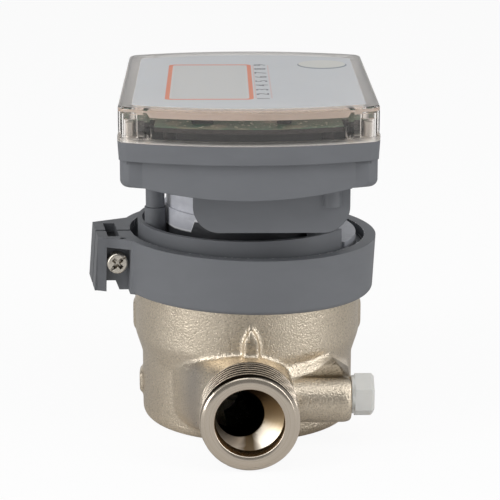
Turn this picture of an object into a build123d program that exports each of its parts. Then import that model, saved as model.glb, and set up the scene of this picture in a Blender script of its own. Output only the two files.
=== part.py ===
from build123d import *
import os
from math import acos, atan2, cos, radians, sin, tan

# A single-jet, dry-dial water meter for a 20 mm pipe, with an electronic display head.
# Millimetres. The origin is the middle of the pot's flat bottom. Water runs along +Y,
# +Z points up through the register, and the regulating plug is on the +X side.

os.makedirs("parts", exist_ok=True)

# Pipe connections: G1 outside threads, 130 mm from face to face
body_length = 130.0
thread_major_d = 33.25
thread_over_base = 0.475
axis_height = thread_major_d / 2 + thread_over_base
thread_length = 17.0
thread_chamfer = 1.4
thread_height = 1.525
neck_d = thread_major_d - 2 * thread_height
socket_d = 23.1
socket_depth = 6.0
cone_depth = 4.0
passage_d = 16.0
passage_shift = -3.0
jet_d = 13.0
jet_shift = -13.0

# Cast pot, its water chamber and the wider bore over the seat, sized from the clamp ring
ring_outer_r = 44.8
ring_wall = 4.4
bead_r = ring_outer_r - ring_wall
bead_proud = 1.0
pot_upper_r = bead_r - bead_proud
upper_wall = 3.4
bore_r = pot_upper_r - upper_wall
seat_width = 3.5
chamber_r = bore_r - seat_width
lower_wall = 4.5
pot_lower_r = chamber_r + lower_wall
pot_round = 3.0
step_low = 23.5
step_high = 31.0
step_round = 6.0
pot_height = 57.0
seat_depth = 19.0
seat_height = pot_height - seat_depth
chamber_floor = 5.0
bead_height = 4.2
hood_half_width = 26.0
hood_boss_side = 14.0
hood_half_height = 14.8
hood_corner = 8.0
hood_overlap = 0.9
hood_root = 26.0
hood_tip_step = 0.05
rib_width = 5.4
rib_shift = 0.9
rib_top = 42.0
rib_point = 6.5
rib_fullness = 0.6
rib_proud = 1.8
wall_root = 1.0
pad_size = 8.0
pad_proud = 1.2

jet_end = 26.0

# Regulating boss on the inlet side
boss_wall = 2.5
boss_y = -(chamber_r + boss_wall)
boss_r = 7.2
boss_end = 35.0
web_top = 29.6
web_root_proud = 2.2
web_edge_y = -23.3
web_back_y = -8.0
web_low = 8.0
web_chamfer_x = 28.0
web_chamfer_z = 22.5
regulating_bore_d = 9.0
bypass_d = 4.0
bypass_x = 9.0
bypass_inner_x = -6.5
bypass_reach = 6.5
screw_inner_x = 13.0
screw_length = 12.0
screw_tip_gap = 0.3
screw_cone = 1.2
screw_slot_depth = 1.5
screw_slot_width = 1.2
screw_groove_width = 1.6
screw_groove_depth = 1.3
screw_seal_r = 0.6
plug_stem_length = 8.0
plug_head_flats = 13.0
plug_head_length = 7.6
plug_collar_length = 1.0
plug_chamfer = 0.9

# Fits
thread_fit = 0.1
slip_fit = 0.2
running_fit = 0.06
side_clearance = 0.3
magnet_fit = 0.05
cut_over = 1.0

# Pressure plate over the chamber
plate_edge = 6.0
plate_height = 8.5
plate_pocket_r = 10.5
plate_pocket_depth = 5.5
plate_rib_count = 6
plate_rib_depth = 1.5
plate_rib_width = 1.6
plate_rib_ends = 4.0
seal_section = 2.6
seal_from_seat = 3.0
seal_fit = 0.1

# Impeller
blade_count = 8
blade_gap = 5.0
blade_r = chamber_r - blade_gap
blade_thickness = 1.6
blade_over_floor = 4.0
blade_low = chamber_floor + blade_over_floor
blade_height = 17.0
blade_high = blade_low + blade_height
hub_r = 4.0
blade_overlap = 0.4
blade_disc_r = 17.0
blade_disc_overlap = 0.5
pivot_r = 1.0
pivot_length = 10.0
pivot_press = 3.0
pivot_tip_round = 0.8
magnet_cup_r = 9.6
magnet_below_seat = 2.0
magnet_cup_floor = 1.4
magnet_cup_slope = 4.0
magnet_tip_length = 2.6
magnet_r = 8.2
magnet_bore_r = 3.0
magnet_height = 5.5
bearing_r = 2.8
bearing_length = 1.8

# Clamp ring: as clamped it sits a little turned and tilted on the bead
ring_turn = 8.2
ring_tilt = 1.63
ring_draft = 0.5
ring_skirt = 9.3
ring_bottom = pot_height - ring_skirt
ring_over_pot = 9.6
ring_top = pot_height + ring_over_pot
ring_round = 1.4
ring_mouth = 2.8
ring_lip_depth = 2.6
ring_lip_over_pot = 7.8
ring_lip_gap = 0.5
window_arc = 56.0
window_left = 158.0
pie_reach = 1.6
ear_reach = 8.6
ear_end_x = -(ring_outer_r + ear_reach)
ear_draft = 0.9
ear_front_y = -9.6
ear_back_y = 12.4
ear_flare = 26.0
ear_plate = 3.3
ear_wall = 8.0
ear_leg = 3.0
ear_root = 3.0
slit_y = 0.0
slit_width = 1.6
clamp_screw_in = 6.6
clamp_screw_x = ear_end_x + clamp_screw_in
clamp_screw_rise = 0.9
clamp_screw_z = pot_height + clamp_screw_rise
clamp_screw_d = 3.5
clamp_head_d = 7.2
clamp_head_height = 2.6
clamp_head_round = 0.8
clamp_cross_length = 4.4
clamp_cross_width = 1.4
clamp_cross_depth = 1.6
clamp_slot_width = 0.9
clamp_slot_depth = 0.8
clamp_tip = 0.5
clamp_tail = 1.0
spring_washer_d = 6.8
spring_washer_thickness = 0.9
spring_washer_gap = 0.6
spring_washer_slant = 20.0
flat_washer_d = 7.0
flat_washer_thickness = 0.5
nut_flats = 6.0
nut_height = 2.8
recess_inner = 2.2
recess_inner_x = -ring_outer_r + recess_inner
notch_width = 3.3
notch_height = 3.3
notch_slope = 1.4
pocket_width = 4.0
pocket_leg = 3.5
pocket_front = 1.0
pocket_back = 2.2
pin_hole_d = 2.3
pin_hole_in = 8.5
pin_hole_out = 1.9

# Register, up to the top of the pickup board: the can stands on the pressure plate
can_wall = 1.2
can_fit = 0.4
plate_top = seat_height + plate_height
can_low = plate_top + slip_fit
follower_r = 9.4
follower_magnet_height = 3.4
follower_floor = 1.2
follower_gap = 0.2
follower_neck = 3.1
follower_top_gap = 1.5
carrier_low = can_low + 2 * can_wall + follower_gap
follower_magnet_low = carrier_low + follower_floor
carrier_top = follower_magnet_low + follower_magnet_height + follower_neck
frame_height = carrier_top + follower_top_gap
frame_thickness = 1.6
frame_top = frame_height + frame_thickness
spindle_over = 0.4
board_thickness = 1.6
pickup_length = 36.6
pickup_width = 25.4
pickup_corner = 2.0
sensor_long = 4.0
sensor_short = 3.0
sensor_height = 1.0
pickup_top = frame_top + board_thickness
pickup_room = 1.7

# Cup that carries the head
cup_growth = 2.2
cup_r = bore_r + cup_growth
cup_wall = 1.6
cup_ledge = pickup_top + sensor_height + pickup_room
cup_rim_height = 7.2
cup_rim = cup_ledge + cup_rim_height
cup_skirt_gap = 0.3
cup_skirt_r = bore_r - cup_skirt_gap
cup_skirt_wall = 1.7
cup_window_arc = 66.0
cup_boss_r = 3.7
cup_boss_merge = 0.1
head_boss_r = cup_r - cup_wall - cup_boss_r + cup_boss_merge
head_boss_start = 195.8
head_boss_count = 3
cup_boss_height = 12.6
cup_boss_top = cup_ledge + cup_boss_height
cup_boss_spare = 1.0
ring_rim_r = cup_r + ring_mouth

# Light drum over the register, its flange on the cup's ledge
register_flange_r = cup_r - cup_wall - side_clearance
register_flange = 1.9
register_tab_r = cup_r - slip_fit
register_tab_arc = 58.0
drum_boss_gap = 0.4
drum_foot_r = head_boss_r - cup_boss_r - drum_boss_gap
drum_foot_step = 0.7
drum_r = drum_foot_r - drum_foot_step
drum_foot_top = cup_boss_top
drum_height = 24.2
drum_top = cup_ledge + drum_height
drum_wall = 1.4
drum_hole_r = 4.0
flange_seat_gap = 0.05

# Display head, plan outline
head_overhang = 4.4
head_half_width = cup_r + head_overhang
head_half_depth = 51.5
head_bow = 8.6
head_corner = 5.0
corner_pocket_x = 9.2
corner_pocket_y = 9.2

# Grey tray
tray_belly = 2.8
tray_over_drum = 1.5
tray_low = drum_top + tray_over_drum + tray_belly
tray_height = 15.3
tray_joint = tray_low + tray_height
tray_lip = 6.2
lip_draft = 3.5
tray_wall = 2.2
tray_floor = 2.0
foot_inset = 0.7
skirt_inset = 1.9
foot_round = 2.4
tray_boss_r = 3.25
cell_d = 14.5
bulge_wall = 1.4
bulge_back = -(drum_foot_r + drum_boss_gap)
bulge_front = bulge_back - cell_d - 2 * (bulge_wall + slip_fit)
bulge_left = -18.3
bulge_right = 33.2
bulge_over_rim = 5.2
bulge_low = cup_rim + bulge_over_rim
bulge_round = 8.8
pillar_x = 27.2
pillar_r = 3.2
pillar_length = 7.3
pillar_low = tray_low - pillar_length
pillar_back = 1.3
cable_hole_r = 5.0
gasket_width = 0.8
gasket_height = 1.0
gasket_inset = 0.8

# Display
board_over_joint = 5.0
board_top = tray_joint + board_over_joint
board_inset = 4.0
board_corner_gap = 1.0
spacer_d = 4.0
spacer_inset_x = 17.0
spacer_inset_y = 6.0
lcd_left = -27.0
lcd_right = 1.5
lcd_front = -37.0
lcd_back = 29.0
lcd_height = 3.0
cell_length = 33.4
cell_gap = 0.3
cell_round = 0.8
cell_cap_length = 1.5
cell_cap_r = 2.9
wire_slot_length = 6.0
wire_slot_width = 2.0
label_inset_x = 4.8
label_front_inset = 2.7
label_back_inset = 9.7
label_bow = 7.4
label_thickness = 0.2
label_corner = 1.5
window_frame = 2.0

# Clear cover over the display
cover_gap = 0.3
cover_plate = 3.3
cover_corner_plate = 2.5
cover_top = board_top + lcd_height + cover_gap + cover_plate
cover_wall = 1.8
cover_flange = 1.5
cover_inset = 0.3
cover_edge_round = 0.9
post_r = 2.5
post_inset = 4.3

# Parts on the circuit board: centre x, centre y, length along x, length along y, height
controller = (17.5, 5.0, 12.0, 12.0, 1.6)
crystal = (17.5, -14.0, 8.0, 3.4, 2.4)
connector = (27.5, 22.0, 5.0, 9.0, 3.0)
small_chip = (-15.0, -44.0, 7.0, 4.0, 2.2)
capacitor_place = (11.5, -45.0)
capacitor_r = 2.4
capacitor_height = 2.8

# Fasteners of the head
head_screw_d = 3.0
head_screw_head_d = 5.6
head_screw_head_height = 2.0
head_screw_grip = 7.0
cover_screw_d = 2.9
cover_screw_head_d = 5.0
cover_screw_head_height = 1.9
cover_screw_sink = 3.0
cover_screw_grip = 6.0
recess_length = 0.6
recess_width = 0.15
recess_depth = 0.6


def head_outline(inset):
    """Plan of the head: straight sides, bowed front and back, drawn in from the edge by an inset."""
    half_width = head_half_width - inset
    half_depth = head_half_depth - inset
    with BuildSketch() as outline:
        with BuildLine():
            ThreePointArc(
                (-half_width, -half_depth),
                (0, -half_depth - head_bow),
                (half_width, -half_depth),
            )
            Line((half_width, -half_depth), (half_width, half_depth))
            ThreePointArc((half_width, half_depth), (0, half_depth + head_bow), (-half_width, half_depth))
            Line((-half_width, half_depth), (-half_width, -half_depth))
        make_face()
        fillet(outline.vertices(), max(head_corner - inset, 0.8))
    return outline.sketch


def room_outline(inset, corner_growth):
    """Plan of the sealed room: the head's outline less a pocket in each corner for its screw."""
    pocket_x = corner_pocket_x + corner_growth
    pocket_y = corner_pocket_y + corner_growth
    with BuildSketch() as outline:
        add(head_outline(inset))
        for side_x in (-1, 1):
            for side_y in (-1, 1):
                corner = (side_x * head_half_width, side_y * (head_half_depth + head_bow))
                with Locations(corner):
                    Rectangle(2 * pocket_x, 2 * (pocket_y + head_bow), mode=Mode.SUBTRACT)
    return outline.sketch


def touch(point, side):
    """Where a tangent from a point meets the boss's circle in the YZ plane, on its upper or lower side."""
    across = point[0] - boss_y
    above = point[1] - axis_height
    reach = (across * across + above * above) ** 0.5
    turn = atan2(above, across) + side * acos(boss_r / reach)
    return (boss_y + boss_r * cos(turn), axis_height + boss_r * sin(turn))


def corner_places():
    """Centres of the four cover screws."""
    across = head_half_width - post_inset
    along = head_half_depth - post_inset
    return [(sx * across, sy * along) for sx in (-1, 1) for sy in (-1, 1)]


def head_boss_places():
    """Centres of the bosses that join the tray to the cup."""
    step = 360 / head_boss_count
    angles = [radians(head_boss_start + step * i) for i in range(head_boss_count)]
    return [(head_boss_r * cos(a), head_boss_r * sin(a)) for a in angles]


def cross_recess(head_d):
    """A cross for a driver, sized from the screw's head."""
    with BuildSketch() as cross:
        Rectangle(head_d * recess_length, head_d * recess_width)
        Rectangle(head_d * recess_width, head_d * recess_length)
    return cross.sketch


def sector(radius, middle, arc):
    """A disc's sector with a round outer edge."""
    with BuildSketch() as part_disc:
        Circle(radius)
        add(pie(radius, middle, arc), mode=Mode.INTERSECT)
    return part_disc.sketch


def pie(radius, middle, arc):
    """A wedge of a disc, used to open windows in round walls."""
    start = middle - arc / 2
    reach = radius * pie_reach
    with BuildSketch() as wedge:
        with BuildLine():
            near = (reach * cos(radians(start)), reach * sin(radians(start)))
            far = (reach * cos(radians(start + arc)), reach * sin(radians(start + arc)))
            tip = (reach * cos(radians(middle)), reach * sin(radians(middle)))
            Polyline((0, 0), near, tip, far, close=True)
        make_face()
    return wedge.sketch


end_y = body_length / 2
thread_r = thread_major_d / 2
hood_end = end_y - thread_length - thread_chamfer + hood_overlap
lip_top = pot_height + ring_lip_over_pot

# Regulating boss with its web: a slope that leans back from the pot's wall to the boss's end
with BuildPart() as boss_web:
    for station, edge_y in ((0, -pot_upper_r - web_root_proud), (boss_end, web_edge_y)):
        upper = touch((edge_y, web_top), 1)
        lower = touch((web_back_y, web_low), -1)
        with BuildSketch(Plane.YZ.offset(station)):
            with BuildLine():
                ThreePointArc(upper, (boss_y - boss_r, axis_height), lower)
                Polyline(lower, (web_back_y, web_low), (web_back_y, web_top), (edge_y, web_top), upper)
            make_face()
    loft(ruled=True)
    with BuildSketch(Plane.XZ):
        with BuildLine():
            Polyline(
                (0, 0),
                (boss_end, 0),
                (boss_end, web_chamfer_z),
                (web_chamfer_x, web_top),
                (0, web_top),
                close=True,
            )
        make_face()
    extrude(amount=2 * end_y, both=True, mode=Mode.INTERSECT)

# Brass body: one casting with the pot, both pipe ends and the regulating boss
with BuildPart() as brass_body:
    with BuildSketch(Plane.XZ) as pot_profile:
        with BuildLine():
            Polyline(
                (0, 0),
                (pot_lower_r, 0),
                (pot_lower_r, step_low),
                (pot_upper_r, step_high),
                (pot_upper_r, pot_height - bead_height),
                (bead_r, pot_height - bead_height),
                (bead_r, pot_height),
                (0, pot_height),
                close=True,
            )
        make_face()
        fillet(pot_profile.vertices().sort_by_distance((pot_lower_r, 0))[:1], pot_round)
        fillet(pot_profile.vertices().sort_by_distance((pot_lower_r, step_low))[:1], step_round)
        fillet(pot_profile.vertices().sort_by_distance((pot_upper_r, step_high))[:1], step_round)
    revolve(axis=Axis.Z)
    # Pipe ends with their hoods; the inlet's hood is narrow on the boss's side
    for side, hood_right in ((-1, hood_boss_side), (1, hood_half_width)):
        with BuildSketch(Plane.XY.offset(axis_height)):
            with BuildLine():
                Polyline(
                    (0, side * hood_root),
                    (0, side * end_y),
                    (thread_r - thread_chamfer, side * end_y),
                    (thread_r, side * (end_y - thread_chamfer)),
                    (thread_r, side * (end_y - thread_length)),
                    (neck_d / 2, side * (end_y - thread_length - thread_chamfer)),
                    (neck_d / 2, side * hood_root),
                    close=True,
                )
            make_face()
        revolve(axis=Axis((0, 0, axis_height), (0, 1, 0)))
        with BuildSketch(Plane.XZ.offset(-side * hood_end)):
            with Locations((0, axis_height)):
                Circle(neck_d / 2 - hood_tip_step)
        with BuildSketch(Plane.XZ.offset(-side * hood_root)):
            with Locations(((hood_right - hood_half_width) / 2, axis_height)):
                RectangleRounded(hood_right + hood_half_width, 2 * hood_half_height, hood_corner)
        loft()
        # Casting rib on the parting line over each pipe end
        with BuildSketch(Plane.XZ.offset(-side * (pot_upper_r + rib_proud))):
            with BuildLine():
                rib_bend = rib_top - rib_point * (1 - rib_fullness)
                rib_edge = rib_width / 2 * rib_fullness
                Polyline(
                    (rib_shift - rib_width / 2, rib_top - rib_point),
                    (rib_shift - rib_width / 2, axis_height),
                    (rib_shift + rib_width / 2, axis_height),
                    (rib_shift + rib_width / 2, rib_top - rib_point),
                )
                ThreePointArc(
                    (rib_shift + rib_width / 2, rib_top - rib_point),
                    (rib_shift + rib_edge, rib_bend),
                    (rib_shift, rib_top),
                )
                ThreePointArc(
                    (rib_shift, rib_top),
                    (rib_shift - rib_edge, rib_bend),
                    (rib_shift - rib_width / 2, rib_top - rib_point),
                )
            make_face()
        extrude(amount=side * (pot_upper_r + rib_proud - chamber_r - wall_root))
    add(boss_web.part)
    # Small cast pads on the side away from the boss
    with BuildSketch(Plane.YZ.offset(-pot_lower_r - pad_proud)):
        with Locations((0, step_low / 2)):
            RectangleRounded(pad_size, pad_size, pad_size / 4)
    extrude(amount=pot_lower_r + pad_proud - chamber_r - wall_root)
    # Chamber, and the wider bore that takes the plate and the cup
    with BuildSketch(Plane.XY.offset(chamber_floor)):
        Circle(chamber_r)
    extrude(amount=pot_height - chamber_floor, mode=Mode.SUBTRACT)
    with BuildSketch(Plane.XY.offset(seat_height)):
        Circle(bore_r)
    extrude(amount=pot_height - seat_height, mode=Mode.SUBTRACT)
    # Water ways: sealing socket, cone, passage and a jet port set to one side of the impeller
    for side in (-1, 1):
        socket_end = end_y - socket_depth
        cone_end = socket_end - cone_depth
        with BuildSketch(Plane.XZ.offset(-side * end_y)):
            with Locations((0, axis_height)):
                Circle(socket_d / 2)
        extrude(amount=side * socket_depth, mode=Mode.SUBTRACT)
        with BuildSketch(Plane.XZ.offset(-side * socket_end)):
            with Locations((0, axis_height)):
                Circle(socket_d / 2)
        with BuildSketch(Plane.XZ.offset(-side * cone_end)):
            with Locations((passage_shift, axis_height)):
                Circle(passage_d / 2)
        loft(mode=Mode.SUBTRACT)
        with BuildSketch(Plane.XZ.offset(-side * cone_end)):
            with Locations((passage_shift, axis_height)):
                Circle(passage_d / 2)
        with BuildSketch(Plane.XZ.offset(-side * jet_end)):
            with Locations((jet_shift, axis_height)):
                Circle(jet_d / 2)
        loft(mode=Mode.SUBTRACT)
    # Regulating bore, open to the inlet passage, and its bypass into the chamber
    with BuildSketch(Plane.YZ.offset(boss_end)):
        with Locations((boss_y, axis_height)):
            Circle(regulating_bore_d / 2)
    extrude(amount=-(boss_end - screw_inner_x), mode=Mode.SUBTRACT)
    with BuildSketch(Plane.YZ.offset(screw_inner_x)):
        with Locations((boss_y, axis_height)):
            Circle(bypass_d / 2)
    extrude(amount=-(screw_inner_x - bypass_inner_x), mode=Mode.SUBTRACT)
    with BuildSketch(Plane.XZ.offset(-boss_y)):
        with Locations((bypass_x, axis_height)):
            Circle(bypass_d / 2)
    extrude(amount=-bypass_reach, mode=Mode.SUBTRACT)
    # Blind hole for the lower pivot
    with BuildSketch(Plane.XY.offset(chamber_floor)):
        Circle(pivot_r)
    extrude(amount=-pivot_press, mode=Mode.SUBTRACT)
brass_body.part.label = "brass_body"
export_step(brass_body.part, "parts/brass_body.step")

# Lower pivot: a steel pin pressed into the floor, with a round tip
with BuildPart() as lower_pivot:
    with BuildSketch(Plane.XY.offset(chamber_floor - pivot_press)):
        Circle(pivot_r)
    extrude(amount=pivot_length)
    fillet(lower_pivot.edges().sort_by(Axis.Z)[-1], pivot_tip_round)
lower_pivot.part.label = "lower_pivot"
export_step(lower_pivot.part, "parts/lower_pivot.step")
pivot_top = chamber_floor - pivot_press + pivot_length

# Impeller: moulded wheel with straight blades, a hub and a cup for the drive magnet
magnet_seat = seat_height - magnet_below_seat
magnet_top = magnet_seat + magnet_height
shaft_top = magnet_top + magnet_tip_length
with BuildPart() as impeller:
    with BuildSketch(Plane.XZ):
        with BuildLine():
            Polyline(
                (pivot_r + running_fit, blade_low),
                (hub_r, blade_low),
                (hub_r, magnet_seat - magnet_cup_slope),
                (magnet_cup_r, magnet_seat - magnet_cup_floor),
                (magnet_cup_r, magnet_top),
                (magnet_r + magnet_fit, magnet_top),
                (magnet_r + magnet_fit, magnet_seat),
                (magnet_bore_r - magnet_fit, magnet_seat),
                (magnet_bore_r - magnet_fit, magnet_top),
                (pivot_r, magnet_top),
                (pivot_r, shaft_top),
                (0, shaft_top),
                (0, pivot_top + running_fit),
                (pivot_r + running_fit, pivot_top + running_fit),
                close=True,
            )
        make_face()
    revolve(axis=Axis.Z)
    blade_middle = (hub_r + blade_r) / 2
    with PolarLocations(blade_middle - blade_overlap, blade_count):
        with Locations((0, 0, blade_low)):
            Box(
                blade_r - hub_r + 2 * blade_overlap,
                blade_thickness,
                blade_high - blade_low,
                align=(Align.CENTER, Align.CENTER, Align.MIN),
            )
    with BuildSketch(Plane.XY.offset(blade_low)):
        Circle(blade_disc_r)
        Circle(hub_r - blade_disc_overlap, mode=Mode.SUBTRACT)
    extrude(amount=blade_thickness)
impeller.part.label = "impeller"
export_step(impeller.part, "parts/impeller.step")

# Drive magnet: a ring in the impeller's cup
with BuildPart() as impeller_magnet:
    with BuildSketch(Plane.XY.offset(magnet_seat)):
        Circle(magnet_r)
        Circle(magnet_bore_r, mode=Mode.SUBTRACT)
    extrude(amount=magnet_height)
impeller_magnet.part.label = "impeller_magnet"
export_step(impeller_magnet.part, "parts/impeller_magnet.step")

# Pressure plate: seals the water in and carries the upper bearing
cup_skirt_inner = cup_skirt_r - cup_skirt_wall
plate_shoulder_r = cup_skirt_inner - can_fit
pocket_top = seat_height + plate_pocket_depth
bearing_top = pocket_top + bearing_length
seal_groove_low = seat_height + seal_from_seat - seal_section / 2
with BuildPart() as pressure_plate:
    with BuildSketch(Plane.XZ):
        with BuildLine():
            Polyline(
                (0, bearing_top),
                (bearing_r, bearing_top),
                (bearing_r, pocket_top),
                (plate_pocket_r, pocket_top),
                (plate_pocket_r, seat_height),
                (bore_r - slip_fit, seat_height),
                (bore_r - slip_fit, seal_groove_low),
                (bore_r - seal_section, seal_groove_low),
                (bore_r - seal_section, seal_groove_low + seal_section),
                (bore_r - slip_fit, seal_groove_low + seal_section),
                (bore_r - slip_fit, seat_height + plate_edge),
                (plate_shoulder_r, seat_height + plate_edge),
                (plate_shoulder_r, plate_top),
                (0, plate_top),
                close=True,
            )
        make_face()
    revolve(axis=Axis.Z)
    rib_middle = (plate_pocket_r + chamber_r) / 2
    with PolarLocations(rib_middle, plate_rib_count):
        with Locations((0, 0, seat_height - plate_rib_depth)):
            Box(
                chamber_r - plate_pocket_r - plate_rib_ends,
                plate_rib_width,
                plate_rib_depth,
                align=(Align.CENTER, Align.CENTER, Align.MIN),
            )
pressure_plate.part.label = "pressure_plate"
export_step(pressure_plate.part, "parts/pressure_plate.step")

# Rubber ring in the plate's groove
seal_r = (seal_section - seal_fit) / 2
with BuildPart() as plate_seal:
    with BuildSketch(Plane.XZ):
        with Locations((bore_r - seal_section / 2, seal_groove_low + seal_section / 2)):
            Circle(seal_r)
    revolve(axis=Axis.Z)
plate_seal.part.label = "plate_seal"
export_step(plate_seal.part, "parts/plate_seal.step")

# Upper bearing: a flanged bush in the plate
with BuildPart() as upper_bearing:
    with BuildSketch(Plane.XY.offset(pocket_top)):
        Circle(bearing_r)
        Circle(pivot_r + running_fit, mode=Mode.SUBTRACT)
    extrude(amount=bearing_length)
upper_bearing.part.label = "upper_bearing"
export_step(upper_bearing.part, "parts/upper_bearing.step")

# Regulating screw: brass, slotted, with a cone that throttles the bypass
screw_outer_x = screw_inner_x + screw_length
regulating_r = regulating_bore_d / 2
with BuildPart() as regulating_screw:
    with BuildSketch(Plane.YZ.offset(screw_inner_x + screw_tip_gap)):
        with Locations((boss_y, axis_height)):
            Circle(regulating_r - thread_fit)
    extrude(amount=screw_length - screw_tip_gap)
    groove_x = screw_inner_x + screw_length / 2
    with BuildSketch(Plane.YZ.offset(groove_x)):
        with Locations((boss_y, axis_height)):
            Circle(regulating_r)
            Circle(regulating_r - screw_groove_depth, mode=Mode.SUBTRACT)
    extrude(amount=screw_groove_width, mode=Mode.SUBTRACT)
    with Locations((screw_outer_x, boss_y, axis_height)):
        Box(2 * screw_slot_depth, regulating_bore_d, screw_slot_width, mode=Mode.SUBTRACT)
    chamfer(regulating_screw.edges().sort_by(Axis.X)[0], screw_cone)
regulating_screw.part.label = "regulating_screw"
export_step(regulating_screw.part, "parts/regulating_screw.step")

# Rubber ring on the regulating screw
with BuildPart() as regulating_seal:
    with BuildSketch(Plane.XY.offset(axis_height)):
        seal_y = boss_y + regulating_r - screw_groove_depth / 2
        with Locations((groove_x + screw_groove_width / 2, seal_y)):
            Circle(screw_seal_r)
    revolve(axis=Axis((0, boss_y, axis_height), (1, 0, 0)))
regulating_seal.part.label = "regulating_seal"
export_step(regulating_seal.part, "parts/regulating_seal.step")

# Plug: white nylon, six-sided head with a collar and a stem in the bore
with BuildPart() as regulating_plug:
    with BuildSketch(Plane.YZ.offset(boss_end - plug_stem_length)):
        with Locations((boss_y, axis_height)):
            Circle(regulating_r - thread_fit)
    extrude(amount=plug_stem_length)
    with BuildSketch(Plane.YZ.offset(boss_end)):
        with Locations((boss_y, axis_height)):
            Circle(plug_head_flats / 2)
    extrude(amount=plug_collar_length)
    with BuildSketch(Plane.YZ.offset(boss_end + plug_collar_length)):
        with Locations((boss_y, axis_height)):
            RegularPolygon(plug_head_flats / 2, 6, major_radius=False, rotation=30)
    extrude(amount=plug_head_length - plug_collar_length)
    chamfer(regulating_plug.faces().sort_by(Axis.X)[-1].edges(), plug_chamfer)
regulating_plug.part.label = "regulating_plug"
export_step(regulating_plug.part, "parts/regulating_plug.step")

# Clamp ring: moulded in one piece and split at its ear, first drawn level with its ear along -X
groove_r = bead_r + thread_fit
ring_groove_low = pot_height - bead_height - thread_fit
lip_low = lip_top - ring_lip_depth
lip_r = cup_r + ring_lip_gap
screw_front_y = slit_y - slit_width / 2 - ear_wall
nut_face_y = slit_y + slit_width / 2 + ear_wall
leg_x = ear_end_x + ear_leg
clamp_place = Location((0, 0, pot_height), (0, ring_tilt, ring_turn)) * Location((0, 0, -pot_height))
with BuildPart() as clamp_blank:
    with BuildSketch(Plane.XZ) as ring_profile:
        with BuildLine():
            Polyline(
                (0, ring_bottom),
                (ring_outer_r - ring_draft, ring_bottom),
                (ring_outer_r, ring_top),
                (0, ring_top),
                close=True,
            )
        make_face()
        outer_foot = (ring_outer_r - ring_draft, ring_bottom)
        fillet(ring_profile.vertices().sort_by_distance(outer_foot)[:1], ring_round)
    revolve(axis=Axis.Z)
    # Ear: flared towards the ring, its end wall leaning out to the bottom
    with BuildSketch(Plane.XY.offset(ring_bottom)):
        with BuildLine():
            root_x = -ring_rim_r + ear_root
            root_rise = (root_x - ear_end_x) * tan(radians(ear_flare))
            Polyline(
                (ear_end_x - ear_draft, ear_back_y),
                (ear_end_x, ear_back_y),
                (root_x, ear_back_y + root_rise),
                (root_x, ear_front_y - root_rise),
                (ear_end_x, ear_front_y),
                (ear_end_x - ear_draft, ear_front_y),
                close=True,
            )
        make_face()
    extrude(amount=ring_top - ring_bottom)
    with BuildSketch(Plane.XZ):
        with BuildLine():
            Polyline(
                (ear_end_x - ear_draft, ring_bottom),
                (ear_end_x, ring_top),
                (ear_end_x, ring_top + cut_over),
                (ear_end_x - ear_draft - cut_over, ring_top + cut_over),
                (ear_end_x - ear_draft - cut_over, ring_bottom),
                close=True,
            )
        make_face()
    extrude(amount=ring_outer_r, both=True, mode=Mode.SUBTRACT)
    # Recesses for the screw's head and the nut, under the ear's top plate
    for side, wall_y in ((-1, screw_front_y), (1, nut_face_y)):
        with Locations(((leg_x + recess_inner_x) / 2, wall_y, ring_bottom - cut_over)):
            Box(
                recess_inner_x - leg_x,
                2 * ring_outer_r,
                ring_top - ear_plate - ring_bottom + cut_over,
                align=(Align.CENTER, Align.MAX if side < 0 else Align.MIN, Align.MIN),
                mode=Mode.SUBTRACT,
            )
    # Notch under the walls, open to both recesses
    with BuildSketch(Plane.XZ):
        with BuildLine():
            Polyline(
                (leg_x, ring_bottom - cut_over),
                (leg_x, ring_bottom + notch_height),
                (leg_x + notch_width, ring_bottom + notch_height),
                (leg_x + notch_width + notch_slope, ring_bottom),
                (leg_x + notch_width + notch_slope, ring_bottom - cut_over),
                close=True,
            )
        make_face()
    extrude(amount=ring_outer_r, both=True, mode=Mode.SUBTRACT)
    # Slit through ear and wall
    with Locations((-ring_rim_r + ear_root, slit_y, ring_bottom - cut_over)):
        Box(
            ring_outer_r,
            slit_width,
            ring_top - ring_bottom + 2 * cut_over,
            align=(Align.MAX, Align.CENTER, Align.MIN),
            mode=Mode.SUBTRACT,
        )
    # Long pocket and pin hole in the top plate
    with BuildSketch(Plane.XY.offset(ring_top)):
        pocket_low_y = ear_front_y + pocket_front
        pocket_high_y = ear_back_y - pocket_back
        with Locations((ear_end_x + pocket_leg + pocket_width / 2, (pocket_low_y + pocket_high_y) / 2)):
            Rectangle(pocket_width, pocket_high_y - pocket_low_y)
        with Locations((ear_end_x + pin_hole_in, ear_front_y - pin_hole_out)):
            Circle(pin_hole_d / 2)
    extrude(amount=-ear_plate, mode=Mode.SUBTRACT)
    # Clearance hole for the screw
    with BuildSketch(Plane.XZ):
        with Locations((clamp_screw_x, clamp_screw_z)):
            Circle(clamp_screw_d / 2 + slip_fit)
    extrude(amount=ring_outer_r / 2, both=True, mode=Mode.SUBTRACT)
with BuildPart() as clamp_ring:
    add(clamp_blank.part.moved(clamp_place))
    # Bore, groove over bead and flange, inner lip and mouth are true to the pot
    for low, high, radius in (
        (ring_bottom - ring_over_pot, ring_groove_low, pot_upper_r + side_clearance),
        (ring_groove_low, lip_low, groove_r),
        (lip_low, lip_top, lip_r),
        (lip_top, ring_top + ring_over_pot, ring_rim_r),
    ):
        with BuildSketch(Plane.XY.offset(low)):
            Circle(radius)
        extrude(amount=high - low, mode=Mode.SUBTRACT)
    # The inner lip is broken by a window on each side
    for middle in (0, window_left):
        with BuildSketch(Plane.XY.offset(lip_low)):
            Circle(ring_rim_r)
            add(pie(ring_rim_r, middle, window_arc), mode=Mode.INTERSECT)
        extrude(amount=ring_lip_depth, mode=Mode.SUBTRACT)
clamp_ring.part.label = "clamp_ring"
export_step(clamp_ring.part, "parts/clamp_ring.step")

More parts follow.
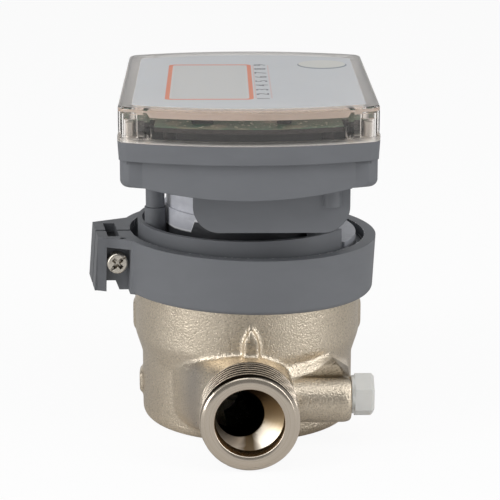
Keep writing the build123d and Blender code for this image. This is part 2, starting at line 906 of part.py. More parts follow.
# Clamp screw: M3.5 pan head, with a cross and a slot, its head outside the front wall
washer_stack = flat_washer_thickness + spring_washer_thickness
clamp_seat_y = screw_front_y - washer_stack
clamp_axis = Axis((clamp_screw_x, 0, clamp_screw_z), (0, 1, 0))
clamp_end_y = nut_face_y + nut_height + clamp_tail
with BuildPart() as screw_level:
    with BuildSketch(Plane.XY.offset(clamp_screw_z)) as screw_profile:
        with BuildLine():
            Polyline(
                (clamp_screw_x, clamp_seat_y - clamp_head_height),
                (clamp_screw_x + clamp_head_d / 2, clamp_seat_y - clamp_head_height),
                (clamp_screw_x + clamp_head_d / 2, clamp_seat_y),
                (clamp_screw_x + clamp_screw_d / 2, clamp_seat_y),
                (clamp_screw_x + clamp_screw_d / 2, clamp_end_y - clamp_tip),
                (clamp_screw_x + clamp_screw_d / 2 - clamp_tip, clamp_end_y),
                (clamp_screw_x, clamp_end_y),
                close=True,
            )
        make_face()
        head_edge = (clamp_screw_x + clamp_head_d / 2, clamp_seat_y - clamp_head_height)
        fillet(screw_profile.vertices().sort_by_distance(head_edge)[:1], clamp_head_round)
    revolve(axis=clamp_axis)
    with BuildSketch(Plane.XZ.offset(clamp_head_height - clamp_seat_y)):
        with Locations((clamp_screw_x, clamp_screw_z)):
            Rectangle(clamp_cross_length, clamp_cross_width, rotation=45)
            Rectangle(clamp_cross_length, clamp_cross_width, rotation=135)
    extrude(amount=-clamp_cross_depth, taper=12, mode=Mode.SUBTRACT)
    with BuildSketch(Plane.XZ.offset(clamp_head_height - clamp_seat_y)):
        with Locations((clamp_screw_x, clamp_screw_z)):
            Rectangle(clamp_head_d + cut_over, clamp_slot_width, rotation=45)
    extrude(amount=-clamp_slot_depth, mode=Mode.SUBTRACT)
with BuildPart() as clamp_screw:
    add(screw_level.part.moved(clamp_place))
clamp_screw.part.label = "clamp_screw"
export_step(clamp_screw.part, "parts/clamp_screw.step")

# Spring washer: a split ring under the screw's head
with BuildPart() as spring_level:
    with BuildSketch(Plane.XZ.offset(-clamp_seat_y)):
        with Locations((clamp_screw_x, clamp_screw_z)):
            Circle(spring_washer_d / 2)
            Circle(clamp_screw_d / 2 + slip_fit, mode=Mode.SUBTRACT)
            with Locations((0, spring_washer_d / 2)):
                Rectangle(
                    spring_washer_gap,
                    spring_washer_d,
                    rotation=spring_washer_slant,
                    mode=Mode.SUBTRACT,
                )
    extrude(amount=-spring_washer_thickness)
with BuildPart() as spring_washer:
    add(spring_level.part.moved(clamp_place))
spring_washer.part.label = "spring_washer"
export_step(spring_washer.part, "parts/spring_washer.step")

# Flat washer between the spring washer and the ear
with BuildPart() as flat_level:
    with BuildSketch(Plane.XZ.offset(-clamp_seat_y - spring_washer_thickness)):
        with Locations((clamp_screw_x, clamp_screw_z)):
            Circle(flat_washer_d / 2)
            Circle(clamp_screw_d / 2 + slip_fit, mode=Mode.SUBTRACT)
    extrude(amount=-flat_washer_thickness)
with BuildPart() as flat_washer:
    add(flat_level.part.moved(clamp_place))
flat_washer.part.label = "flat_washer"
export_step(flat_washer.part, "parts/flat_washer.step")

# Clamp nut: M3.5, in the rear recess
with BuildPart() as nut_level:
    with BuildSketch(Plane.XZ.offset(-nut_face_y)):
        with Locations((clamp_screw_x, clamp_screw_z)):
            RegularPolygon(nut_flats / 2, 6, major_radius=False)
            Circle(clamp_screw_d / 2 + running_fit, mode=Mode.SUBTRACT)
    extrude(amount=-nut_height)
with BuildPart() as clamp_nut:
    add(nut_level.part.moved(clamp_place))
clamp_nut.part.label = "clamp_nut"
export_step(clamp_nut.part, "parts/clamp_nut.step")

# Cup: grey moulding that stands in the body's bore, is held by its flange and carries the head
cup_low = seat_height + plate_edge + slip_fit
cup_inner_r = cup_r - cup_wall
with BuildPart() as register_cup:
    with BuildSketch(Plane.XZ):
        with BuildLine():
            Polyline(
                (cup_skirt_inner, cup_low),
                (cup_skirt_r, cup_low),
                (cup_skirt_r, pot_height + thread_fit),
                (bead_r - thread_fit, pot_height + thread_fit),
                (bead_r - thread_fit, lip_low - slip_fit),
                (cup_r, lip_low - slip_fit),
                (cup_r, cup_rim),
                (cup_inner_r, cup_rim),
                (cup_inner_r, cup_ledge),
                (cup_skirt_inner, cup_ledge),
                close=True,
            )
        make_face()
    revolve(axis=Axis.Z)
    # Window on the right, down to the ledge
    with BuildSketch(Plane.XY.offset(cup_ledge)):
        Circle(cup_r + cut_over)
        add(pie(cup_r, 0, cup_window_arc), mode=Mode.INTERSECT)
    extrude(amount=cup_rim, mode=Mode.SUBTRACT)
    # Screw bosses for the head, standing on the ledge
    with BuildSketch(Plane.XY.offset(cup_ledge)):
        with Locations(*head_boss_places()):
            Circle(cup_boss_r)
    extrude(amount=cup_boss_top - cup_ledge)
    with BuildSketch(Plane.XY.offset(cup_boss_top)):
        with Locations(*head_boss_places()):
            Circle(head_screw_d / 2)
    extrude(amount=-head_screw_grip - cup_boss_spare, mode=Mode.SUBTRACT)
register_cup.part.label = "register_cup"
export_step(register_cup.part, "parts/register_cup.step")

# Register can: dark moulding that stands on the plate inside the cup
can_r = cup_skirt_inner - can_fit
with BuildPart() as register_can:
    with BuildSketch(Plane.XZ):
        with BuildLine():
            Polyline(
                (0, can_low),
                (can_r, can_low),
                (can_r, cup_ledge),
                (can_r - can_wall, cup_ledge),
                (can_r - can_wall, frame_top),
                (can_r - 2 * can_wall, frame_height),
                (can_r - 2 * can_wall, can_low + can_wall),
                (bearing_r, can_low + can_wall),
                (bearing_r, can_low + 2 * can_wall),
                (pivot_r + running_fit, can_low + 2 * can_wall),
                (pivot_r + running_fit, can_low + can_wall),
                (0, can_low + can_wall),
                close=True,
            )
        make_face()
    revolve(axis=Axis.Z)
    with BuildSketch(Plane.XY.offset(frame_height)):
        Circle(can_r - can_wall)
    extrude(amount=frame_thickness, mode=Mode.SUBTRACT)
register_can.part.label = "register_can"
export_step(register_can.part, "parts/register_can.step")

# Follower: carrier with its magnet on a spindle, turned through the plate by the drive magnet
with BuildPart() as follower_carrier:
    with BuildSketch(Plane.XZ):
        with BuildLine():
            Polyline(
                (pivot_r, carrier_low),
                (follower_r, carrier_low),
                (follower_r, follower_magnet_low + follower_magnet_height),
                (magnet_r + magnet_fit, follower_magnet_low + follower_magnet_height),
                (magnet_r + magnet_fit, follower_magnet_low),
                (magnet_bore_r - magnet_fit, follower_magnet_low),
                (magnet_bore_r - magnet_fit, carrier_top),
                (pivot_r, carrier_top),
                close=True,
            )
        make_face()
    revolve(axis=Axis.Z)
follower_carrier.part.label = "follower_carrier"
export_step(follower_carrier.part, "parts/follower_carrier.step")

# Ring magnet in the follower's carrier
with BuildPart() as follower_magnet:
    with BuildSketch(Plane.XY.offset(follower_magnet_low)):
        Circle(magnet_r)
        Circle(magnet_bore_r, mode=Mode.SUBTRACT)
    extrude(amount=follower_magnet_height)
follower_magnet.part.label = "follower_magnet"
export_step(follower_magnet.part, "parts/follower_magnet.step")

# Steel spindle between the can's floor and the frame
with BuildPart() as follower_spindle:
    with BuildSketch(Plane.XY.offset(can_low + can_wall)):
        Circle(pivot_r)
    extrude(amount=frame_top - can_low - can_wall + spindle_over)
follower_spindle.part.label = "follower_spindle"
export_step(follower_spindle.part, "parts/follower_spindle.step")

# Frame: a plate across the can that holds the spindle's upper end
with BuildPart() as register_frame:
    with BuildSketch(Plane.XY.offset(frame_height)):
        Circle(can_r - can_wall - thread_fit)
        Circle(pivot_r + running_fit, mode=Mode.SUBTRACT)
    extrude(amount=frame_thickness)
register_frame.part.label = "register_frame"
export_step(register_frame.part, "parts/register_frame.step")

# Pickup board with two magnetic sensors, standing on the frame
with BuildPart() as pickup_board:
    with BuildSketch(Plane.XY.offset(frame_top)):
        RectangleRounded(pickup_length, pickup_width, pickup_corner)
        Circle(3 * pivot_r, mode=Mode.SUBTRACT)
    extrude(amount=board_thickness)
    with Locations((follower_r, 0, pickup_top)):
        Box(sensor_short, sensor_long, sensor_height, align=(Align.CENTER, Align.CENTER, Align.MIN))
    with Locations((0, follower_r, pickup_top)):
        Box(sensor_long, sensor_short, sensor_height, align=(Align.CENTER, Align.CENTER, Align.MIN))
pickup_board.part.label = "pickup_board"
export_step(pickup_board.part, "parts/pickup_board.step")

# Drum: light grey housing with a flange on the cup's ledge, keyed in the cup's window
flange_low = cup_ledge + flange_seat_gap
with BuildPart() as register_drum:
    with BuildSketch(Plane.XY.offset(flange_low)):
        Circle(register_flange_r)
        add(sector(register_tab_r, 0, register_tab_arc))
        with Locations(*head_boss_places()):
            Circle(cup_boss_r + side_clearance, mode=Mode.SUBTRACT)
    extrude(amount=register_flange)
    with BuildSketch(Plane.XZ):
        with BuildLine():
            Polyline(
                (0, flange_low),
                (drum_foot_r, flange_low),
                (drum_foot_r, drum_foot_top),
                (drum_r, drum_foot_top),
                (drum_r, drum_top),
                (0, drum_top),
                close=True,
            )
        make_face()
    revolve(axis=Axis.Z)
    with BuildSketch(Plane.XY.offset(flange_low)):
        Circle(drum_r - drum_wall)
    extrude(amount=drum_top - drum_wall - flange_low, mode=Mode.SUBTRACT)
    with BuildSketch(Plane.XY.offset(drum_top)):
        Circle(drum_hole_r)
    extrude(amount=-drum_wall, mode=Mode.SUBTRACT)
register_drum.part.label = "register_drum"
export_step(register_drum.part, "parts/register_drum.step")

# Grey tray of the head: lip, corner feet, skirt, belly, battery bulge and three screw bosses
tray_step = tray_joint - tray_lip
floor_top = tray_low + tray_floor
bulge_middle = (bulge_left + bulge_right) / 2
with BuildPart() as tray_belly_solid:
    with BuildSketch(Plane.XY.offset(tray_low - tray_belly)):
        add(room_outline(skirt_inset, 0))
    extrude(amount=tray_belly + tray_floor)
    belly_half = head_half_width - corner_pocket_x
    with BuildSketch(Plane.XZ):
        with BuildLine():
            ThreePointArc((-belly_half, tray_low), (0, tray_low - tray_belly), (belly_half, tray_low))
            Polyline(
                (belly_half, tray_low),
                (belly_half, floor_top),
                (-belly_half, floor_top),
                (-belly_half, tray_low),
            )
        make_face()
    extrude(amount=2 * head_half_depth, both=True, mode=Mode.INTERSECT)
with BuildPart() as head_tray:
    with BuildSketch(Plane.XY.offset(tray_low)):
        add(head_outline(foot_inset))
    extrude(amount=tray_step - tray_low)
    fillet(head_tray.faces().sort_by(Axis.Z)[0].edges(), foot_round)
    # Walls between the feet stand back from them
    with BuildSketch(Plane.XY.offset(tray_low)):
        add(head_outline(foot_inset))
        add(head_outline(skirt_inset), mode=Mode.SUBTRACT)
        with Locations(*corner_places()):
            Rectangle(
                2 * (corner_pocket_x - post_inset),
                2 * (corner_pocket_y - post_inset),
                mode=Mode.SUBTRACT,
            )
    extrude(amount=tray_step - tray_low, mode=Mode.SUBTRACT)
    with BuildSketch(Plane.XY.offset(tray_joint)):
        add(head_outline(0))
    extrude(amount=-tray_lip, taper=lip_draft)
    add(tray_belly_solid.part)
    # Battery bulge with round lower corners
    with BuildSketch(Plane.XZ.offset(-bulge_front)) as bulge_outline:
        with Locations((bulge_middle, (bulge_low + floor_top) / 2)):
            Rectangle(bulge_right - bulge_left, floor_top - bulge_low)
        fillet(bulge_outline.vertices().group_by(Axis.Y)[0], bulge_round)
    extrude(amount=bulge_front - bulge_back)
    with BuildSketch(Plane.XY.offset(pillar_low)):
        with Locations((pillar_x, bulge_front + pillar_back)):
            Circle(pillar_r)
    extrude(amount=tray_low - pillar_low)
    with BuildSketch(Plane.XY.offset(cup_boss_top + thread_fit)):
        with Locations(*head_boss_places()):
            Circle(tray_boss_r)
    extrude(amount=tray_low - cup_boss_top)
    # Room for the electronics, left solid round the cover screws
    with BuildSketch(Plane.XY.offset(floor_top)):
        add(room_outline(skirt_inset + tray_wall, tray_wall))
    extrude(amount=tray_joint - floor_top, mode=Mode.SUBTRACT)
    # Battery room
    with BuildSketch(Plane.XZ.offset(-bulge_front - bulge_wall)) as battery_room:
        with Locations((bulge_middle, (bulge_low + floor_top) / 2 + bulge_wall / 2)):
            Rectangle(bulge_right - bulge_left - 2 * bulge_wall, floor_top - bulge_low - bulge_wall)
        fillet(battery_room.vertices().group_by(Axis.Y)[0], bulge_round - bulge_wall)
    extrude(amount=bulge_front - bulge_back + 2 * bulge_wall, mode=Mode.SUBTRACT)
    # Cable hole over the drum, screw holes to the cup, cover screw holes with sunk heads
    with BuildSketch(Plane.XY.offset(floor_top)):
        Circle(cable_hole_r)
        with Locations(*head_boss_places()):
            Circle(head_screw_d / 2 + slip_fit)
    extrude(amount=-(floor_top - cup_boss_top), mode=Mode.SUBTRACT)
    with BuildSketch(Plane.XY.offset(tray_low)):
        with Locations(*corner_places()):
            Circle(cover_screw_head_d / 2 + slip_fit)
    extrude(amount=cover_screw_sink, mode=Mode.SUBTRACT)
    with BuildSketch(Plane.XY.offset(tray_low)):
        with Locations(*corner_places()):
            Circle(cover_screw_d / 2 + slip_fit)
    extrude(amount=tray_joint - tray_low, mode=Mode.SUBTRACT)
    # Groove for the cover's gasket
    with BuildSketch(Plane.XY.offset(tray_joint)):
        groove_outer = gasket_inset - thread_fit
        add(room_outline(groove_outer, groove_outer))
        groove_inner = gasket_inset + gasket_width + thread_fit
        add(room_outline(groove_inner, groove_inner), mode=Mode.SUBTRACT)
    extrude(amount=-gasket_height, mode=Mode.SUBTRACT)
head_tray.part.label = "head_tray"
export_step(head_tray.part, "parts/head_tray.step")

# Gasket: a soft strip in the tray's groove
with BuildPart() as cover_gasket:
    with BuildSketch(Plane.XY.offset(tray_joint - gasket_height)):
        add(room_outline(gasket_inset, gasket_inset))
        gasket_edge = gasket_inset + gasket_width
        add(room_outline(gasket_edge, gasket_edge), mode=Mode.SUBTRACT)
    extrude(amount=gasket_height)
cover_gasket.part.label = "cover_gasket"
export_step(cover_gasket.part, "parts/cover_gasket.step")

# Three long screws from the tray's floor into the cup's bosses
with BuildPart() as head_screws:
    with BuildSketch(Plane.XY.offset(floor_top)):
        with Locations(*head_boss_places()):
            Circle(head_screw_head_d / 2)
    extrude(amount=head_screw_head_height)
    with BuildSketch(Plane.XY.offset(floor_top)):
        with Locations(*head_boss_places()):
            Circle(head_screw_d / 2 - running_fit)
    extrude(amount=-(floor_top - cup_boss_top + head_screw_grip))
    with BuildSketch(Plane.XY.offset(floor_top + head_screw_head_height)):
        with Locations(*head_boss_places()):
            add(cross_recess(head_screw_head_d))
    extrude(amount=-head_screw_head_height * recess_depth, mode=Mode.SUBTRACT)
head_screws.part.label = "head_screws"
export_step(head_screws.part, "parts/head_screws.step")

# Battery: one lithium cell lying across the bulge
cell_y = (bulge_front + bulge_back) / 2
cell_z = bulge_low + bulge_wall + cell_d / 2 + cell_gap
with BuildPart() as battery:
    with BuildSketch(Plane.YZ.offset(bulge_middle - cell_length / 2)):
        with Locations((cell_y, cell_z)):
            Circle(cell_d / 2)
    extrude(amount=cell_length - cell_cap_length)
    fillet(battery.edges(), cell_round)
    with BuildSketch(Plane.YZ.offset(bulge_middle + cell_length / 2 - cell_cap_length)):
        with Locations((cell_y, cell_z)):
            Circle(cell_cap_r)
    extrude(amount=cell_cap_length)
battery.part.label = "battery"
export_step(battery.part, "parts/battery.step")

# Circuit board on posts of the tray, its corners cut for the screw pockets
with BuildPart() as circuit_board:
    with BuildSketch(Plane.XY.offset(board_top - board_thickness)):
        add(room_outline(board_inset, board_inset - board_corner_gap))
        with Locations((bulge_middle, cell_y)):
            Rectangle(wire_slot_length, wire_slot_width, mode=Mode.SUBTRACT)
    extrude(amount=board_thickness)
circuit_board.part.label = "circuit_board"
export_step(circuit_board.part, "parts/circuit_board.step")

# Spacers under the board
spacer_x = head_half_width - spacer_inset_x
spacer_y = head_half_depth - spacer_inset_y
with BuildPart() as board_spacers:
    with BuildSketch(Plane.XY.offset(floor_top)):
        with Locations(*[(sx * spacer_x, sy * spacer_y) for sx in (-1, 1) for sy in (-1, 1)]):
            Circle(spacer_d / 2)
            Circle(spacer_d / 4, mode=Mode.SUBTRACT)
    extrude(amount=board_top - board_thickness - floor_top)
board_spacers.part.label = "board_spacers"
export_step(board_spacers.part, "parts/board_spacers.step")

# Parts soldered on the board: a controller, a crystal, a connector and a capacitor
with BuildPart() as board_components:
    on_board = (Align.CENTER, Align.CENTER, Align.MIN)
    for place_x, place_y, length_x, length_y, height in (controller, crystal, connector, small_chip):
        with Locations((place_x, place_y, board_top)):
            Box(length_x, length_y, height, align=on_board)
    with Locations((*capacitor_place, board_top)):
        Cylinder(capacitor_r, capacitor_height, align=on_board)
board_components.part.label = "board_components"
export_step(board_components.part, "parts/board_components.step")

# Display glass on the board, behind the label's window
with BuildPart() as lcd_panel:
    with BuildSketch(Plane.XY.offset(board_top)):
        with Locations(((lcd_left + lcd_right) / 2, (lcd_front + lcd_back) / 2)):
            Rectangle(lcd_right - lcd_left, lcd_back - lcd_front)
    extrude(amount=lcd_height)
lcd_panel.part.label = "lcd_panel"
export_step(lcd_panel.part, "parts/lcd_panel.step")

# Clear cover: bowed box with a thick top, corner walls round the screw pockets, and screw posts
with BuildPart() as clear_cover:
    with BuildSketch(Plane.XY.offset(tray_joint)):
        add(head_outline(0))
    extrude(amount=cover_flange)
    with BuildSketch(Plane.XY.offset(tray_joint)):
        add(head_outline(cover_inset))
    extrude(amount=cover_top - tray_joint)
    fillet(clear_cover.faces().sort_by(Axis.Z)[-1].edges(), cover_edge_round)
    with BuildSketch(Plane.XY.offset(tray_joint)):
        add(room_outline(cover_inset + cover_wall, cover_wall))
    extrude(amount=cover_top - cover_plate - tray_joint, mode=Mode.SUBTRACT)
    # Screw pockets, open below, with a post in each
    with BuildSketch(Plane.XY.offset(tray_joint)):
        add(head_outline(cover_inset + cover_wall))
        add(room_outline(0, 0), mode=Mode.SUBTRACT)
        with Locations(*corner_places()):
            Circle(post_r, mode=Mode.SUBTRACT)
    extrude(amount=cover_top - cover_corner_plate - tray_joint, mode=Mode.SUBTRACT)
    with BuildSketch(Plane.XY.offset(tray_joint)):
        with Locations(*corner_places()):
            Circle(cover_screw_d / 2 + thread_fit)
    extrude(amount=cover_screw_grip + cut_over, mode=Mode.SUBTRACT)
clear_cover.part.label = "clear_cover"
export_step(clear_cover.part, "parts/clear_cover.step")

# Four screws from below, through the feet into the cover's posts
screw_seat = tray_low + cover_screw_sink
with BuildPart() as cover_screws:
    with BuildSketch(Plane.XY.offset(screw_seat - cover_screw_head_height)):
        with Locations(*corner_places()):
            Circle(cover_screw_head_d / 2)
    extrude(amount=cover_screw_head_height)
    with BuildSketch(Plane.XY.offset(screw_seat)):
        with Locations(*corner_places()):
            Circle(cover_screw_d / 2)
    extrude(amount=tray_joint + cover_screw_grip - screw_seat)
    with BuildSketch(Plane.XY.offset(screw_seat - cover_screw_head_height)):
        with Locations(*corner_places()):
            add(cross_recess(cover_screw_head_d))
    extrude(amount=cover_screw_head_height * recess_depth, mode=Mode.SUBTRACT)
cover_screws.part.label = "cover_screws"
export_step(cover_screws.part, "parts/cover_screws.step")

# Dial label: a thin sheet on the cover, open over the display
label_half_width = head_half_width - label_inset_x
label_front_y = label_front_inset - head_half_depth
label_back_y = head_half_depth - label_back_inset
with BuildPart() as dial_label:
    with BuildSketch(Plane.XY.offset(cover_top)) as label_outline:
        with BuildLine():
            ThreePointArc(
                (-label_half_width, label_front_y),
                (0, label_front_y - label_bow),
                (label_half_width, label_front_y),
            )
            Line((label_half_width, label_front_y), (label_half_width, label_back_y))
            ThreePointArc(
                (label_half_width, label_back_y),
                (0, label_back_y + label_bow),
                (-label_half_width, label_back_y),
            )
            Line((-label_half_width, label_back_y), (-label_half_width, label_front_y))
        make_face()
        fillet(label_outline.vertices(), label_corner)
        with Locations(((lcd_left + lcd_right) / 2, (lcd_front + lcd_back) / 2)):
            RectangleRounded(
                lcd_right - lcd_left - 2 * window_frame,
                lcd_back - lcd_front - 2 * window_frame,
                window_frame,
                mode=Mode.SUBTRACT,
            )
    extrude(amount=label_thickness)
dial_label.part.label = "dial_label"
export_step(dial_label.part, "parts/dial_label.step")
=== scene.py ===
from math import cos, pi, radians, sin

import bmesh
import bpy
from mathutils import Matrix, Vector


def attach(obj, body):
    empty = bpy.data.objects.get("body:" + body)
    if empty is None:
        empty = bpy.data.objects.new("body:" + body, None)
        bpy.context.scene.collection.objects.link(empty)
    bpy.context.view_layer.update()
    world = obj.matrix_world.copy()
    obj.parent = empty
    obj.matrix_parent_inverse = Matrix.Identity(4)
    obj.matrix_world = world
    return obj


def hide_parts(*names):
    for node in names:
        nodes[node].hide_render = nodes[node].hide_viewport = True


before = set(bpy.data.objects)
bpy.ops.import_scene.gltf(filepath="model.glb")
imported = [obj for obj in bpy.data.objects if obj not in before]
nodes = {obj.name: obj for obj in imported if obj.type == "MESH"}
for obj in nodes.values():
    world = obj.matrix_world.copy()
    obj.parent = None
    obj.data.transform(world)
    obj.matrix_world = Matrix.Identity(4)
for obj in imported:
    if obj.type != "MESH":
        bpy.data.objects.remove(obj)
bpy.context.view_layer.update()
mm = 0.001

# Cast body: sand-cast brass with a nickel plating, rough as the sand left it. The pot,
# both pipe ends, the regulating boss and two low lugs are one casting with round edges,
# a parting line in front and a crease behind the boss. Its pipe ends are turned later.
axis_z = 17.1 * mm
grain_size = 0.62 * mm
grain_depth = 0.27 * mm
swell_size = 3.2 * mm
cloud_size = 14 * mm
passage_r = 10.5 * mm
passage_fade = 2 * mm
pot_foot_r = 40.9 * mm
pot_foot_fade = 7 * mm
web_start_x = 14 * mm
web_low_z = 22.6 * mm
web_high_z = 30.5 * mm
web_front_y = -38 * mm
web_lit_z = 26 * mm
hood_side_x = -16 * mm
hood_top_z = 29 * mm
front_y = -34 * mm
seam_half = 0.22 * mm
seam_fade = 0.3 * mm
seam_low_z = 39 * mm
cut_y = 47.3 * mm
weld_distance = 0.001 * mm
boss_y = -35.0 * mm
boss_swell_z = 15.8 * mm
boss_core_r = 6.0 * mm
# Stations along the boss: X and radius in millimetres
boss_stations = ((11.0, 8.2), (32.6, 8.2), (34.0, 7.9), (34.8, 7.3), (35.0, 6.9))
boss_arc = [radians(-100 + 5 * i) for i in range(41)]
lug_middle = (38.9 * mm, 0, 36.5 * mm)
lug_size = (2.6 * mm, 5 * mm, 9 * mm, 1)
voxel = 0.62 * mm
rounding_steps = 7
face_share = 0.42
crease_y = -34.4 * mm
crease_half = 3.0 * mm
crease_depth = 1.3 * mm
crease_low_z = 22.5 * mm
crease_start_x = 13 * mm
crease_start_r = 39.9 * mm
crease_growth = 2.2 * mm


def srgb(red, green, blue):
    """A colour given 0 to 255, as the linear colour that a shader takes."""
    def linear(c):
        c = c / 255
        return c / 12.92 if c <= 0.04045 else ((c + 0.055) / 1.055) ** 2.4
    return (linear(red), linear(green), linear(blue), 1.0)


class Signal:
    """A value that changes over a surface. Its operators add Math nodes."""

    def __init__(self, finish, socket):
        self.finish = finish
        self.socket = socket

    def math(self, operation, *values):
        made = self.finish.node("Math", {"operation": operation}, dict(enumerate(values)))
        return Signal(self.finish, made.outputs[0])

    def __add__(self, other):
        return self.math("ADD", self, other)

    def __radd__(self, other):
        return self.math("ADD", other, self)

    def __sub__(self, other):
        return self.math("SUBTRACT", self, other)

    def __rsub__(self, other):
        return self.math("SUBTRACT", other, self)

    def __mul__(self, other):
        return self.math("MULTIPLY", self, other)

    def __rmul__(self, other):
        return self.math("MULTIPLY", other, self)

    def __pow__(self, other):
        return self.math("POWER", self, other)

    def __abs__(self):
        return self.math("ABSOLUTE", self)

    def clipped(self, low=0.0, high=1.0):
        made = self.finish.node("Clamp", {}, {"Value": self, "Min": low, "Max": high})
        return Signal(self.finish, made.outputs[0])

    def above(self, edge, width):
        """0 below the edge, 1 above it, with a soft step of the given width."""
        return ((self - edge) * (1 / width) + 0.5).clipped()

    def below(self, edge, width):
        """1 below the edge, 0 above it, with a soft step of the given width."""
        return 1 - self.above(edge, width)


class Graph:
    """A tree of shader nodes, emptied first."""

    def __init__(self, tree):
        self.tree = tree
        self.tree.nodes.clear()

    def node(self, kind, settings, sockets):
        """Adds a node: its settings first, a ramp's stops among them, then its sockets."""
        made = self.tree.nodes.new("ShaderNode" + kind)
        for name, value in settings.items():
            if name == "stops":
                ramp = made.color_ramp
                for position, colour in value[2:]:
                    ramp.elements.new(position)
                for element, (position, colour) in zip(ramp.elements, value):
                    element.position = position
                    element.color = colour
            else:
                setattr(made, name, value)
        for name, value in sockets.items():
            self.feed(made.inputs[name], value)
        return made

    def feed(self, socket, value):
        """Links a signal or an output to a socket, or sets a constant on it."""
        if isinstance(value, Signal):
            value = value.socket
        if isinstance(value, bpy.types.NodeSocket):
            self.tree.links.new(value, socket)
        else:
            socket.default_value = value

    def value(self, kind, settings, sockets, output=0):
        """A node's output as a signal."""
        return Signal(self, self.node(kind, settings, sockets).outputs[output])


class Finish(Graph):
    """A procedural material with one Principled shader."""

    def __init__(self, name):
        self.material = bpy.data.materials.new(name)
        self.material.use_nodes = True
        super().__init__(self.material.node_tree)
        self.shader = self.node("BsdfPrincipled", {}, {})
        self.output = self.node("OutputMaterial", {}, {"Surface": self.shader.outputs[0]})
        self.place = self.node("TexCoord", {}, {}).outputs["Object"]

    def set(self, **sockets):
        """Sets or links sockets of the shader; base_color stands for Base Color."""
        for name, value in sockets.items():
            name = "IOR" if name == "ior" else name.replace("_", " ").title()
            self.feed(self.shader.inputs[name], value)

    def colour_so_far(self):
        """What feeds the shader's colour now."""
        return self.shader.inputs["Base Color"].links[0].from_socket

    def noise(self, size, detail=2.0, roughness=0.5, stretch=(1, 1, 1), distortion=0.0):
        """Cloudy noise between 0 and 1 whose patches are about the given size in metres."""
        place = self.node("Mapping", {}, {"Vector": self.place, "Scale": stretch}).outputs[0]
        return self.value("TexNoise", {}, {
            "Vector": place,
            "Scale": 1 / size,
            "Detail": detail,
            "Roughness": roughness,
            "Distortion": distortion,
        }, "Fac")

    def axes(self):
        """The place on the object along X, Y and Z, in metres."""
        made = self.node("SeparateXYZ", {}, {0: self.place})
        return [Signal(self, made.outputs[i]) for i in range(3)]

    def blend(self, factor, colour, other):
        """The first colour where factor is 0, the other where it is 1."""
        made = self.node("Mix", {"data_type": "RGBA"}, {0: factor, 6: colour, 7: other})
        return made.outputs[2]

    def rounded(self, radius):
        """A normal that rounds sharp edges by the given radius."""
        return self.node("Bevel", {"samples": 4}, {"Radius": radius}).outputs[0]

    def bump(self, height, depth, strength=1.0, round_edges=0.0):
        """A normal from a height between 0 and 1 that stands for the given depth in metres."""
        sockets = {"Height": height, "Distance": depth, "Strength": strength}
        if round_edges:
            sockets["Normal"] = self.rounded(round_edges)
        return self.node("Bump", {}, sockets).outputs[0]


def ended(build, name):
    """Turns a finished bmesh into a mesh of the given name."""
    mesh = bpy.data.meshes.new(name)
    build.to_mesh(mesh)
    build.free()
    return mesh


def coat(data, finish):
    """Gives a mesh or curve one finish and no other."""
    data.materials.clear()
    data.materials.append(finish.material)


def put(data, name, body, *stands_for):
    """Makes an object that rides on a body and stands for CAD nodes."""
    piece = bpy.data.objects.new(name, data)
    bpy.context.scene.collection.objects.link(piece)
    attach(piece, body)
    if stands_for:
        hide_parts(*stands_for)
    return piece


def bridge(build, first, second):
    """Quads between two loops of equal count."""
    for i in range(len(first)):
        j = (i + 1) % len(first)
        face = build.faces.new((first[i], first[j], second[j], second[i]))
        face.smooth = True


def applied(mesh, *modifiers):
    """The mesh after modifiers, each given as its type and its settings."""
    work = bpy.data.objects.new("work", mesh)
    bpy.context.scene.collection.objects.link(work)
    for kind, settings in modifiers:
        modifier = work.modifiers.new(kind.title(), kind)
        for name, value in settings.items():
            setattr(modifier, name, value)
    graph = bpy.context.evaluated_depsgraph_get()
    made = bpy.data.meshes.new_from_object(work.evaluated_get(graph), depsgraph=graph)
    bpy.data.objects.remove(work)
    return made


def boss_arc_points(radius, middle_z, angles):
    """Places along an arc in front of the regulating bore, as Y and Z."""
    return [(boss_y - radius * cos(a), middle_z + radius * sin(a)) for a in angles]


plating_light = srgb(246, 233, 213)
plating_warm = srgb(234, 220, 198)
grain_shade = srgb(140, 126, 106)
web_painted_shade = srgb(108, 94, 72)
hood_painted_shade = srgb(186, 178, 170)
passage_painted_shade = srgb(24, 21, 18)
casting = Finish("cast_nickel_brass")
px, py, pz = casting.axes()
grains = casting.noise(grain_size, 3.0, 0.5)
swells = casting.noise(swell_size, 2.0)
cloud = casting.noise(cloud_size, 2.0)
# Painted shade: dark deep inside the passage round the pipe axis.
from_passage = px * px + (pz - axis_z) * (pz - axis_z)
deep_inside = from_passage.below(passage_r ** 2, passage_fade ** 2)
# Painted shade on the web beside the pot behind the boss, darker low down.
beside_pot = (px * px + py * py).above(pot_foot_r ** 2, pot_foot_fade ** 2)
beside_pot = beside_pot * px.above(web_start_x, 4 * mm)
on_web = beside_pot * pz.above(web_low_z, 0.8 * mm) * pz.below(web_high_z, 1 * mm)
on_web = on_web * py.above(web_front_y, 2 * mm)
shaded = 0.9 - 0.4 * pz.above(web_lit_z, 4 * mm)
# Painted shade: the hood's left front side is toned darker.
on_hood = px.below(hood_side_x, 4 * mm) * pz.below(hood_top_z, 3 * mm)
on_hood = on_hood * py.below(front_y, 8 * mm)
parting = abs(px).below(seam_half, seam_fade)
parting = parting * py.below(front_y, 1 * mm) * pz.above(seam_low_z, 3 * mm)
plating = casting.blend(cloud, plating_light, plating_warm)
plating = casting.blend(grains.below(0.47, 0.3) * 0.34, plating, grain_shade)
plating = casting.blend(on_web * shaded, plating, web_painted_shade)
plating = casting.blend(on_hood * 0.7, plating, hood_painted_shade)
casting.set(
    metallic=1.0,
    base_color=casting.blend(deep_inside, plating, passage_painted_shade),
    roughness=0.24 + 0.1 * grains,
    normal=casting.bump(grains + swells * 0.3 + parting * 1.6, grain_depth),
)

